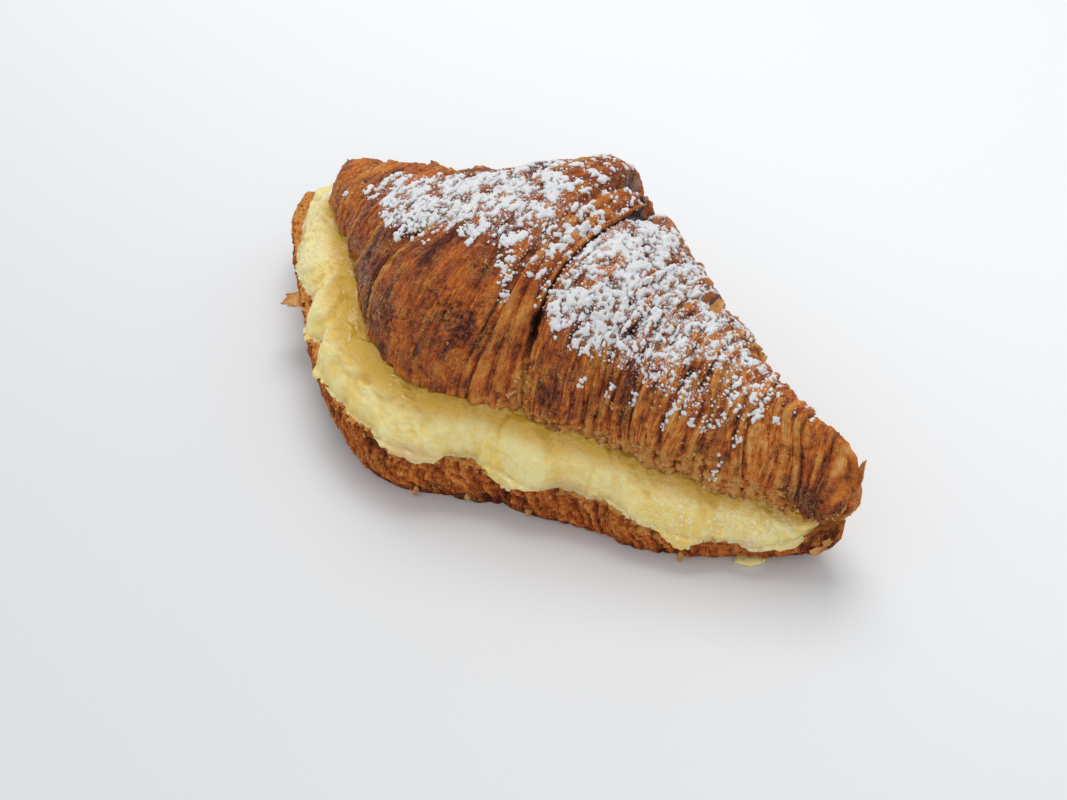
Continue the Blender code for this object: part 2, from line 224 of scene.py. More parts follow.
# The wraps of dough, shared by both halves.
wraps = dict(
    ringAngles=(0, 45, 90, 125, 150),   # degrees over the arch, from the front cut edge
    rings=[(-62, -63, -61, -61, -61), (-51, -51, -47, -45.8, -45), (-44, -34, -31, -29, -28),
           (-24.5, -21.5, -7, -3.5, -1), (5.5, 7.7, 8, 5.4, 2), (18, 15.6, 15.5, 12.4, 7),
           (31.7, 31.4, 29, 27.8, 26.5), (42, 39.8, 38, 36.8, 36), (55, 54.2, 53, 52.4, 52),
           (64, 62.9, 61.2, 60, 59), (68, 66.8, 65, 64.1, 63.5), (74.8, 73, 71, 69.5, 68.5),
           (79.5, 78, 77.5, 77.5, 77.5)],
    run=0.45,           # how far it takes to step from one wrap to the next
    waver=0.7, easing=1.6,
    creaseAngles=(0, 22, 34, 42, 54, 104, 116, 126, 152, 180),
    creaseShares=(0.45, 0.45, 0.45, 0.4, 0.4, 0.5, 1.0, 1.5, 1.7, 1.2),
    creaseFades=(1.2, 1.1, 0.5, 0.35, 0.3, 0.35, 1.8, 3.0, 4.4, 2.9),
    rightFade=1.8, fullWidth=6.0, leastShare=0.35,       # a narrower wrap stands less proud
    # left edge, right edge, belly, ridges, ridge depth, tone, grain, peeling
    rows=[(0.0, -0.6, 0.6, 0, 0.0, 0.50, 0.6, 0.2), (0.4, -0.8, 0.6, 0, 0.0, 0.46, 0.7, 0.3),
          (0.5, -1.8, 0.5, 0, 0.0, 0.44, 0.7, 0.3), (1.3, -2.0, 0.6, 0, 0.0, 0.22, 0.5, 0.3),
          (1.4, -0.2, 1.2, 0, 0.0, 0.43, 0.4, 0.3), (-3.0, -1.0, 0.3, 3, 1.5, 0.63, 0.6, 0.3),
          (-3.6, -0.6, 1.9, 0, 0.0, 0.46, 1.2, 0.8), (0.4, -0.4, 0.0, 3, 1.1, 0.54, 1.2, 0.9),
          (-2.6, 0.5, 1.1, 3, 1.0, 0.64, 1.1, 1.0), (-1.5, 0.4, 0.6, 2, 0.8, 0.68, 1.0, 1.0),
          (-0.9, 0.2, 0.3, 0, 0.0, 0.71, 0.9, 0.9), (-1.4, 0.4, 0.5, 2, 0.8, 0.75, 0.9, 1.0),
          (-1.6, 0.2, 0.5, 0, 0.0, 0.58, 0.7, 0.4), (-2.0, 0.0, 0.8, 0, 0.0, 0.66, 0.15, 0.2)])


def ringPlaces(degrees, tips):
    rows = [np.full(len(degrees), tips[0])]
    inner = upper["tips"]
    for ring in wraps["rings"]:
        stretch = tips[0] / inner[0] if ring[0] < 0 else tips[1] / inner[1]
        waver = wraps["waver"] * np.sin(np.radians(degrees) * 4.0 + ring[0])
        rows.append(stretch * through(list(zip(wraps["ringAngles"], ring)), degrees) + waver)
    rows.append(np.full(len(degrees), tips[1]))
    return np.array(rows)


def atAngle(degrees, word):   # how the creases change over the arch
    return np.interp(degrees, wraps["creaseAngles"], wraps[word])


def relief(wrap, across, widths, degrees):   # how proud a line across a wrap stands
    left, right, belly, ridges, depth = wraps["rows"][wrap][:5]
    share = atAngle(degrees, "creaseShares")
    height = left * share * np.exp(-across * widths / atAngle(degrees, "creaseFades"))
    height += right * np.exp(-(1 - across) * widths / wraps["rightFade"])
    height += belly * 4 * across * (1 - across)
    if ridges:
        height += depth * (min(1.5 * abs(2 * ((across * ridges) % 1.0) - 1), 1.0) - 0.5)     # flat-topped
    return height * np.clip(widths / wraps["fullWidth"], wraps["leastShare"], 1.0)


def unevenness(x, turn):
    slow = np.sin(0.21 * x + 1.7 * turn + 0.4) * np.sin(0.13 * x - 2.3 * turn)
    quick = np.sin(0.47 * x - 3.1 * turn + 1.1) * np.sin(0.31 * x + 4.2 * turn + 2.0)
    return 0.45 * slow + 0.3 * quick


def swelling(x, degrees):
    return sum(height * np.exp(-((x - place) / reach) ** 2 - ((degrees - angle) / spread) ** 2)
               for place, angle, reach, spread, height in upper["swellings"])


def wrapGrid(degrees, tips, pitch, undercut):   # fine columns over every wrap and every step between two
    places = ringPlaces(degrees, tips)
    middle = len(degrees) // 4
    last = len(wraps["rows"]) - 1
    lines = {word: [] for word in ("x", "height", "wrap", "u", "left", "right", "wall")}

    def add(**values):
        for word, value in values.items():
            lines[word].append(np.broadcast_to(value, degrees.shape))

    u = 0.0
    for wrap in range(last + 1):
        start = places[wrap] + (wraps["run"] if wrap else 0.0)
        widths = places[wrap + 1] - start
        steps = max(4, round(widths[middle] / pitch))
        for step in range(0 if wrap else 1, steps + (1 if wrap < last else 0)):
            across = step / steps
            if wrap == 0:       # finer columns towards both tips
                across = across ** wraps["easing"]
            if wrap == last:
                across = 1 - (1 - across) ** wraps["easing"]
            add(x=start + across * widths, height=relief(wrap, across, widths, degrees), wrap=wrap,
                u=u + across * widths[middle], left=across * widths, right=(1 - across) * widths, wall=0.0)
        u += widths[middle]
        if wrap == last:
            break
        nextStart = places[wrap + 1] + wraps["run"]
        high = relief(wrap, 1.0, widths, degrees)
        low = relief(wrap + 1, 0.0, places[wrap + 2] - nextStart, degrees)
        steps = round(abs(low - high)[middle] / (1.3 * pitch))
        for step in range(1, steps + 1):
            share = step / (steps + 1)
            hollow = undercut * np.clip(high - low - 1.0, 0, 4) * math.sin(math.pi * share)
            add(x=places[wrap + 1] + share * wraps["run"] - hollow, height=high + share * (low - high),
                wrap=wrap + share, u=u + share * abs(low - high)[middle], left=0.0, right=0.0,
                wall=np.sign(low - high) * np.minimum(abs(low - high), 1.0))
        u += abs(low - high)[middle]
    return {word: np.array(line) for word, line in lines.items()}


def wrapValue(wrap, word):   # tone, grain or peeling of each column
    place = 5 + ("tone", "grain", "peeling").index(word)
    values = [row[place] for row in wraps["rows"]]
    return np.interp(wrap, np.arange(len(values)), values)


# The upper half: one arched, laminated crust with a ragged cut edge and an open crumb under it.
upper = dict(
    tips=(-74.0, 85.5), tipRound=8.0, squareness=0.9, poleHeights=(30.5, 20.0),
    front=[(-74, 4), (-69, -1.5), (-62, -8), (-51, -13.5), (-41, -20.5), (-31, -27.5), (-22, -33.5),
           (-10, -36.5), (2, -36), (12, -31), (24, -26), (36, -22.5), (48, -17.5), (60, -13), (72, -7),
           (85.5, -2)],
    back=[(-74, 13), (-60, 14.5), (-46, 16), (-34, 17), (-22, 23), (-12, 32.5), (-2, 37.5), (8, 35.5),
          (18, 29.5), (30, 24.5), (44, 19), (56, 14), (68, 10), (85.5, 7)],
    top=[(-74, 31.5), (-62, 35), (-48, 42), (-34, 48), (-20, 53.5), (-8, 58.5), (2, 60), (12, 57),
         (24, 52), (38, 47), (52, 42), (66, 37.6), (78, 34), (85.5, 30)],
    cut=[(-74, 28), (-40, 27), (0, 26.5), (30, 24), (60, 18.5), (85.5, 14)],
    # x, degrees, radii, height
    swellings=[(6, 122, 8, 20, 1.4), (25, 75, 9, 30, 0.8), (-3, 40, 10, 25, 0.7)],
    pitch=0.43, archRows=178, cutRows=26, undercut=0.35,
    laminationDepth=0.75, threadDepth=0.20, lumpDepth=0.35, gritDepth=0.12, peelDepth=0.35, patchDepth=0.40,
    crinkleDepth=0.20, blisterDepth=0.32, crumbDepth=0.70, edgeRag=1.6,
    edgeRough=[(-75, 0.35), (-20, 0.25), (10, 0.5), (25, 1.0), (85, 1.0)],      # x, and how ragged it is
    crackles=[(1, 34, 9, 9), (6, 24, 6, 10), (-12, 20, 7, 8)],        # x, degrees, and their radii
    holes=[(16.9, 42, 1.3, 5.5), (17.6, 36, 1.0, 3.5), (6.0, 133, 1.3, 4), (10.5, 131, 1.2, 4),
           (34, 62, 0.6, 6), (48.5, 60, 0.8, 6)],
    torn=[(18.8, 14, 2.2, 12), (8.5, 122, 2.2, 6)],
    crumb=[(36, 0, 7, 6), (46, 1, 7, 9), (56, 2, 6, 12), (65, 3, 6, 10), (72, 2, 4, 5), (26, 0, 6, 4)],
    darkPatches=[(26.3, 13, 3.2, 9), (-70, 76, 5, 20), (-17, 28, 4.0, 26), (-22, 12, 4, 14),
                 (9, 131, 6, 10), (76.0, 17, 3.4, 14), (1, 62, 4, 14), (-10, 46, 3, 10), (36, 30, 2, 12)],
    burnt=[(77.0, 8, 3.8, 15), (83.0, 10, 2.5, 12)],
    # painted light: patches made lighter where light falls on rounded tops
    paintedLightPatches=[(79.9, 62, 2.2, 18), (70.6, 62, 1.7, 22), (64, 40, 2.2, 14), (-56, 100, 5, 14)],
    # strands that spread from here over the tip: x, degrees, millimetres a degree
    fan=(78.6, 4, 0.17), rayDepth=0.6,
    # what makes the crust lighter or darker, and what lets light dough show; the shares for hollows, seams,
    # the slit, holes and steps are painted shade, those for lift paint raised bits lighter and dips darker,
    # and those for the lighter patches are painted light
    tones=dict(lamination=0.13, strands=0.08, mottle=0.10, crinkle=0.04, patches=0.36, valley=-0.46,
               shadedSeam=-0.30, lift=0.15, streaks=-0.10, skin=0.12, skinLine=-0.08, groove=-0.30, hollow=-0.16,
               dark=-0.24, crackle=-0.22, holes=-0.8, blister=0.08, drop=-0.04, crumb=0.12, granules=0.32,
               rays=-0.26, fineRays=0.14, burnt=-0.42, light=0.16, shadedSlit=-0.8),
    pales=dict(climb=0.5, lip=0.9, peel=0.25, crumb=0.40, edge=0.30, crest=0.5, lift=0.22, rope=0.24,
               drop=0.3, skin=0.15, light=0.25, torn=0.4, leftEnd=0.28),
    # lowest degrees with sugar
    sugarFrom=[(-75, 80), (-66, 72), (-58, 54), (-42, 57), (-24, 54), (-8, 60), (6, 58), (12, 51),
               (21, 43), (41, 39), (55, 36), (62, 50), (70, 75), (86, 90)],
    # and the highest
    sugarTo=[(-75, 70), (-60, 76), (-50, 83), (-40, 93), (-28, 107), (-12, 110), (-2, 106), (5, 98),
             (10, 95), (14, 114), (22, 134), (86, 142)],
    sugarShare=[(-75, 0), (-66, 0), (-60, 0.0), (-54, 0.04), (-50, 0.14), (-44, 0.55), (-38, 1), (0, 1),
                (8, 0.85), (14, 0.65), (19, 1.3), (32, 1.3), (42, 1.12), (52, 0.92), (60, 0.60),
                (68, 0.24), (74, 0.08), (78, 0), (86, 0)],
    # how large the clumps are, from 0 to 1
    clumping=[(-75, 1), (6, 1), (28, 0.95), (40, 0.7), (80, 0.5)],
    # x, y, heading in degrees, length, width
    sugarLumps=[(-58, -6.8, 0, 1.6, 1.3), (-5.5, -17.9, 40, 4.4, 3.0), (-3.0, -18.6, 20, 3.0, 2.4),
                (-8.5, -15.5, 30, 4.0, 2.2), (5.9, -18.7, 70, 4.8, 3.0), (8.0, -20.5, 60, 4.4, 2.6),
                (9.5, -23.0, 60, 2.6, 2.0), (-20.5, -14.0, 10, 3.6, 2.4), (-35, -14.5, 10, 3.6, 2.4),
                (-44, -9.5, 30, 3.4, 2.4), (48.8, -14.6, 62, 5.4, 1.8), (55.1, -12.4, 70, 2.6, 1.3),
                (61.8, -9.8, 60, 2.0, 1.8), (59.9, -13.4, 80, 3.2, 1.3), (66.8, -3.8, 50, 1.9, 1.6),
                (57.5, -6.0, 60, 3.0, 1.6), (63.0, -5.0, 40, 2.2, 1.2), (40.5, -17.5, 75, 2.8, 1.2),
                (30.5, -22.5, 75, 2.4, 1.0), (36.0, -19.5, 75, 3.0, 1.2)])


def upperArch(degrees, x, height):
    turn = np.radians(degrees)[None, :]
    front, back = through(upper["front"], x), through(upper["back"], x)
    cut, top = through(upper["cut"], x), through(upper["top"], x)
    full = fullness(x, upper["tips"], upper["tipRound"])
    reach = (back - front) / 2 * full
    rise = (top - cut) * full
    level = cut + 0.35 * (top - cut) * (1 - full)
    across = -np.cos(turn) * reach
    up = np.sin(turn) ** upper["squareness"] * rise
    height = height + swelling(x, degrees[None, :])
    swell = 1 + (height + unevenness(x, turn)) * full / (np.hypot(across, up) + 2.0)
    return np.stack([x, (front + back) / 2 + across * swell, level + up * swell], -1)


def makeUpper():
    degrees = np.linspace(0, 180, upper["archRows"])
    grid = wrapGrid(degrees, upper["tips"], upper["pitch"], upper["undercut"])
    x, wrap, u, wall = grid["x"], grid["wrap"], grid["u"], grid["wall"]
    degree = np.broadcast_to(degrees, x.shape)
    bare = upperArch(degrees, x, np.zeros(x.shape))
    outward = gridNormals(bare)
    arch = upperArch(degrees, x, grid["height"])
    v = pathLengths(bare)
    ground = arch
    px, py, pz = np.moveaxis(ground, -1, 0)
    full = fullness(x, upper["tips"], 5.0)
    tone, grain, peeling = [wrapValue(wrap, word) for word in ("tone", "grain", "peeling")]
    grain = np.clip(grain + 0.8 * spots(x, degree, upper["torn"]), 0, 2)

    # Lamination runs along the columns; it wavers, forks and fades, and differs from wrap to wrap.
    apart = wrap * 3.1
    drift = 1.1 * noise(11, u / 6, v / 8, apart)
    drifted = u + drift
    layers = noise(12, drifted / 2.3, v / 16, apart) + 0.35 * noise(82, drifted / 1.1, v / 9, apart)
    threads = noise(13, drifted / 0.8, v / 6, apart)
    strip = np.minimum(2.8 * np.abs(layers), 1)
    groove = smooth(0.55, 0.0, strip)
    strength = grain * (0.65 + 0.7 * noise(14, u / 5, v / 9, wrap))
    fine = strength * (upper["laminationDepth"] * (strip - 0.6) + upper["threadDepth"] * threads)
    fine += upper["lumpDepth"] * noiseAt(15, 4.5, ground)
    fine += upper["gritDepth"] * noiseAt(16, 0.9, ground)
    crinkle = wrinkles(74, px / 2.6 + 0.5 * drift, py / 2.6, pz / 2.6)
    fine += upper["crinkleDepth"] * crinkle * (1.1 - 0.4 * grain)

    # Thin skins of dough lie over one another, and some have peeled.
    skinRag = 0.4 * noise(37, u / 2, v / 3)
    _, skinEdge, skinShare = cells(30, (u + 1.6 * drift) / 2.3, v / 6.5 + skinRag, wrap * 2.0)
    fine += upper["patchDepth"] * (skinShare - 0.5) * (0.35 + 0.65 * peeling)
    skinLine = smooth(0.14, 0.0, skinEdge)
    peelField = noise(17, u / 2.2, v / 6, wrap * 2.3) + 0.4 * noise(18, u / 0.8, v / 1.5, wrap)
    peel = smooth(0.22, 0.30, peelField) * peeling
    fine -= upper["peelDepth"] * peel
    blister = smooth(0.42, 0.85, noiseAt(19, 2.3, ground)) * (1 - 0.6 * peeling)
    fine += upper["blisterDepth"] * blister
    _, crackEdge, _ = cells(20, px / 1.9 + 0.5 * noise(21, py, pz), py / 1.9, pz / 1.9)
    crackle = spots(x, degree, upper["crackles"]) * smooth(0.18, 0.02, crackEdge)
    fine -= 0.5 * crackle
    holes = spots(x, degree, upper["holes"])
    fine -= 2.2 * holes + 0.5 * holes * noiseAt(22, 0.8, ground)

    # Torn dough and the cut's ragged lower edge are coarse crumb.
    torn = spots(x, degree, upper["torn"])
    fromEdge = np.minimum(v, v[:, -1:] - v)
    edge = np.exp(-fromEdge / 1.1)
    rough = straight(upper["edgeRough"], x)
    ragged = 2.5 * noise(38, u / 3.0, v / 4.0)
    crumb = np.clip(spots(x, np.minimum(degree, 180 - degree), upper["crumb"]) * 1.5, 0, 1)
    crumb = smooth(0.35, 0.6, crumb + 0.25 * noiseAt(39, 2.5, ground))
    crumb = np.maximum(np.maximum(crumb, torn), rough * smooth(1.6, 0.5, fromEdge + ragged))
    rayX, rayY = x - upper["fan"][0], (degree - upper["fan"][1]) * upper["fan"][2]
    around, away = np.arctan2(rayY, rayX), np.hypot(rayX, rayY)
    atTip = smooth(-1.6, 0.2, rayX + 0.06 * rayY) * smooth(150, 110, degree) * smooth(0.3, 1.5, away)
    rays = np.minimum(2.6 * np.abs(noise(91, 3.4 * around, away / 11)), 1)
    fineRays = noise(92, 9.0 * around, away / 10)
    fine += atTip * (upper["rayDepth"] * (rays - 0.6) + 0.16 * fineRays)
    granules = noiseAt(23, 1.5, ground) + 0.8 * noiseAt(24, 0.75, ground)
    fine = fine * (1 - 0.6 * crumb) + crumb * (upper["crumbDepth"] * granules - 0.15)
    rag = 0.8 * noise(93, px / 6.5, py / 6.5) + noise(25, px / 3.2, py / 3.2)
    rag = rag + 0.6 * noise(26, px / 1.2, py / 1.2, pz)
    fine += upper["edgeRag"] * rough * edge * rag * 0.5
    # lift: raised bits painted lighter and dips darker, as painted light and shade
    lift = np.clip((fine - softened(fine, 8)) / 0.35, -1, 1)
    arch = arch + outward * (fine * full)[..., None]
    arch[..., 2] += upper["edgeRag"] * rough * full * edge * (rag - 0.2)

    # The underside is open crumb, pressed into the cream.
    rows = upper["cutRows"]
    share = between(rows)[None, :, None]
    cutFace = arch[:, -1:] + (arch[:, :1] - arch[:, -1:]) * share
    cx, cy = cutFace[..., 0], cutFace[..., 1]
    pore = cells(28, cx / 2.4, cy / 2.4)[0]
    cutFace[..., 2] += (0.5 * smooth(0.5, 0.1, pore) + 0.1 * noise(29, cx, cy)) * full[:, :1]
    loops = np.concatenate([arch, cutFace], 1)

    # Creases, steps and ridges, which the colours follow; creases and the feet of steps get painted shade.
    depth = atAngle(degree, "creaseShares")
    narrow = 0.45 * atAngle(degree, "creaseFades")
    fromLeft, fromRight = grid["left"], grid["right"]
    leftEdge, rightEdge = edgeHeight(wrap, 0), edgeHeight(wrap, 1)
    flat = wall == 0
    # hollow: painted shade in creases and at the feet of steps
    hollow = np.exp(-fromLeft / narrow) * np.clip(-leftEdge * depth / 3.5, 0, 1) * flat
    deep = np.where(wall < 0, wrap % 1, 1 - wrap % 1) * (np.abs(wall) > 0)      # 1 at the foot of a step
    hollow = np.maximum(hollow, 0.9 * smooth(0.55, 0.95, deep) * np.clip(depth, 0, 1))
    hollow = np.maximum(hollow, np.exp(-fromRight / 0.6) * np.clip(-rightEdge / 3, 0, 1))
    lip = smooth(1.5, 0.5, fromLeft + 0.5 * noise(75, u / 2, v / 2.5)) * np.clip(leftEdge - 0.3, 0, 1)
    lip = lip * (0.5 + 0.8 * np.abs(np.sin(2.2 * fromLeft + 1.5 * noise(76, v / 5, u / 9))))
    drop = smooth(0.3, 1.0, -wall)
    climb = smooth(0.3, 1.0, wall)
    plain = np.clip(1.1 - grain, 0, 1)
    ridges = np.array([row[3] for row in wraps["rows"]])[np.round(wrap).astype(int)]
    across = fromLeft / (fromLeft + fromRight + 1e-6) + 0.05 * noise(77, v / 5, u / 12)
    onRidge = np.abs(2 * ((across * ridges) % 1.0) - 1)    # 1 on a ridge, 0 in the valley between two
    valley = np.where(ridges > 0, smooth(0.38, 0.08, onRidge), 0) * flat
    # painted shade along a wrap's left edge where it dips into a crease
    shadedSeam = smooth(0.9, 0.0, fromLeft) * (leftEdge < -0.5) * flat

    # painted shadow: the narrow slit is painted near black, as if unlit inside
    shadedSlit = smooth(0.8, 0.3, fromLeft + 0.3 * noise(96, v / 1.5, u)) * flat
    shadedSlit = shadedSlit + smooth(0.35, 0.7, deep) * (wall < 0)
    shadedSlit = shadedSlit * np.clip((-leftEdge - 2.0) / 1.6, 0, 1) * smooth(22, 34, degree) * smooth(150, 125, degree)

    # How brown it is, from 0 for nearly black to 1 for light, with painted shade in creases, the slit, holes
    # and dips, and painted light on raised bits and the lighter patches.
    light = spots(x, degree, upper["paintedLightPatches"])
    tone = tone + weighed(upper["tones"], dict(
        lamination=(1 - plain) * noise(31, u / 3.0, v / 20, apart), strands=noise(32, drifted, v / 9, wrap),
        mottle=(0.5 + plain) * noise(33, u / 3.0 + drift, v / 8.0, wrap), crinkle=crinkle,
        patches=plain * noise(97, u / 5.0, v / 7.5, wrap * 1.9),
        valley=valley * (0.7 + 0.5 * noise(79, v / 3, u / 3)), shadedSeam=shadedSeam, lift=lift * (1 - 0.6 * plain),
        streaks=smooth(0.1, 0.6, noise(81, u / 3.0, v / 10, wrap * 2.0)) * (1 - valley),
        skin=skinShare - 0.5, skinLine=skinLine * grain, groove=groove * strength, hollow=hollow,
        dark=spots(x, degree, upper["darkPatches"]), crackle=crackle, holes=holes, blister=blister,
        drop=drop * smooth(20, 40, degree), crumb=crumb, granules=crumb * granules,
        rays=atTip * smooth(0.5, 0.0, rays), fineRays=atTip * fineRays,
        burnt=spots(x, degree, upper["burnt"]), light=light, shadedSlit=shadedSlit))

    # How much light dough shows, how glossy it is, and where the sugar lies.
    crest = smooth(0.35, 0.65, onRidge) * (ridges > 0) * smooth(-0.4, 0.4, noise(80, u / 3, v / 7))
    rope = smooth(-0.2, 0.4, noise(95, u / 4, v / 12, wrap * 1.3))
    rope = smooth(0.7, 1.0, strip) * np.clip(strength, 0, 1.2) * rope
    pale = weighed(upper["pales"], dict(
        climb=climb, lip=lip, peel=peel, crumb=crumb * (1 - holes), edge=edge * rough, crest=crest,
        lift=np.clip(lift, 0, 1), rope=rope, drop=drop * smooth(40, 20, degree),
        skin=smooth(0.25, 0.5, skinShare * smooth(0.2, 0.1, skinEdge)), light=light, torn=torn,
        leftEnd=smooth(-50, -57, x)))
    pale = pale * (0.8 + 0.5 * noiseAt(34, 0.9, ground)) * (1 - shadedSlit) * (1 - holes)
    gloss = smooth(0.75, 0.25, tone) * (1 - np.clip(pale + crumb, 0, 1))
    up = np.clip(gridNormals(arch)[..., 2], 0, 1)
    allowed = smooth(-5, 7, degree - through(upper["sugarFrom"], x))
    over = degree - straight(upper["sugarTo"], x)
    beyond = 0.36 * smooth(38, 20, over) * smooth(-20, -6, x)        # a little reaches over the hump
    allowed = allowed * np.maximum(smooth(8, -10, over), beyond)
    share = allowed * np.clip(straight(upper["sugarShare"], x), 0, 1.3)
    clumping = straight(upper["clumping"], x)
    patch = 0.9 * noise(35, px / 5.0, py / 5.0) + 0.9 * noise(36, u / (1.8 * clumping), v / 3.2, wrap * 1.7)
    patch = patch + 0.9 * (share - 0.55) - 0.6 * groove * grain
    sugar = smooth(0.0, 0.05, share) * smooth(-0.02, 0.26, patch) * up ** 1.2
    sugar = sugar * (1 - np.clip(2 * hollow, 0, 1)) * (1 - holes) * (1 - shadedSlit) / clumping ** 0.4
    sugar = sugar * (1 + 0.35 * smooth(16, 20, x) * smooth(38, 30, x))
    dust = share * (0.3 + 0.7 * smooth(-0.6, 0.2, patch)) * up
    granular = np.maximum(crumb, 0.6 * crest * (np.round(wrap) == 5))       # so is the ridged wrap
    # dark: painted shadow in the slit and the holes, mixed towards near black in the shader
    values = dict(tone=tone, pale=pale, gloss=gloss, sugar=sugar, dust=dust, clumping=clumping,
                  crumb=granular, grain=0.5 * grain, dark=np.clip(0.8 * shadedSlit + 0.85 * holes, 0, 1),
                  crumbs=smooth(0.4, 0.9, crumb) * (1 - holes),
                  flaky=peeling * smooth(0.1, 0.4, peelField) * (1 - crumb))
    under = dict(tone=0.62, pale=0.9, clumping=1.0, crumb=1.0)       # nothing else shows on the underside
    values = {word: np.concatenate([np.clip(value, 0, 2), np.full((len(x), rows), under.get(word, 0.0))], 1)
              for word, value in values.items()}
    vAll = np.concatenate([v, v[:, -1:] + np.linspace(0, 30, rows)[None, :]], 1)
    uAll = np.concatenate([u, np.repeat(u[:, :1], rows, 1)], 1)
    return skin("upper_crust", loops, ends(upper, loops), values, uAll, vAll)


def edgeHeight(wrap, side):   # how proud a wrap's left or right edge stands
    return np.interp(wrap, np.arange(len(wraps["rows"])), [row[side] for row in wraps["rows"]])


# The lower half: a low tray of the same dough, with the rim of its cut showing round the cream.
lower = dict(
    tips=(-86.0, 83.5), tipRound=(6.0, 10.0), relief=0.55, poleHeights=(9.0, 10.5), leastFoot=0.12,
    front=[(-86, 1), (-80, -6.5), (-73, -13), (-60, -22.5), (-48, -31.5), (-40, -37), (-30, -42.8),
           (-20, -46.6), (-9, -48), (0, -46.2), (8, -41.5), (21, -34.5), (37, -29), (53, -23.5),
           (67, -14.5), (76, -7.8), (83.5, -0.8)],
    back=[(-86, 6), (-76, 10), (-60, 13), (-46, 15), (-34, 17), (-22, 24), (-12, 32), (-4, 36),
          (6, 35), (18, 30.5), (30, 25), (44, 18), (56, 12.5), (68, 8.5), (83.5, 5)],
    cut=[(-86, 17), (-50, 17), (-19, 16.5), (-5, 16), (10, 14), (25, 12), (45, 11), (60, 8.5),
         (72, 7.8), (78, 9.8), (83.5, 13.2)],
    floor=[(-86, 6), (-80, 2.2), (-72, 0), (64, 0), (74, 0.6), (79, 1.6), (82, 4.2), (83.5, 7.8)],
    frontTuck=[(-86, 6), (-60, 4.8), (-34, 3.8), (-10, 2.8), (40, 2.4), (60, 3.2), (74, 5), (83.5, 2.4)],
    backTuck=[(-86, 6), (-40, 6.5), (0, 6.5), (40, 5), (76, 3.6), (83.5, 2.4)],
    pitch=0.45, wallRows=40, cutRows=58, bedRows=22,
    laminationDepth=0.50, lumpDepth=0.45, crumpleDepth=0.32, crumbDepth=0.20, rimRag=0.6, baseTone=0.50,
    # the shares for lift, crumple, cavity and hollow paint raised bits lighter and dips, cavities and creases
    # darker, as painted light and shade
    tones=dict(lamination=0.08, strands=0.08, mottle=0.05, lift=0.14, crumple=0.06, cavity=-0.35,
               hollow=-0.18, foot=-0.16, grit=0.10, groove=-0.30, threads=0.12, burnt=-0.26, leftEnd=-0.12),
    pales=dict(crumb=0.18, torn=0.22, strands=0.22, lift=0.25),
    burnt=[(82.6, 0.45, 2.0, 0.5), (-30, 0.1, 6, 0.3), (12, 0.1, 8, 0.2)],       # x, up, and their radii
    # x, up
    cavities=[(-8.5, 0.80, 3.0, 0.16), (19.5, 0.6, 1.4, 0.35), (-52, 0.45, 4, 0.25), (80, 0.8, 3, 0.3),
              (57, 0.75, 2.2, 0.15), (-24, 0.3, 3, 0.15)],
    torn=[(81, 0.7, 4, 0.5), (-60, 0.95, 4, 0.2), (2, 0.95, 8, 0.2), (52, 0.9, 6, 0.25)])


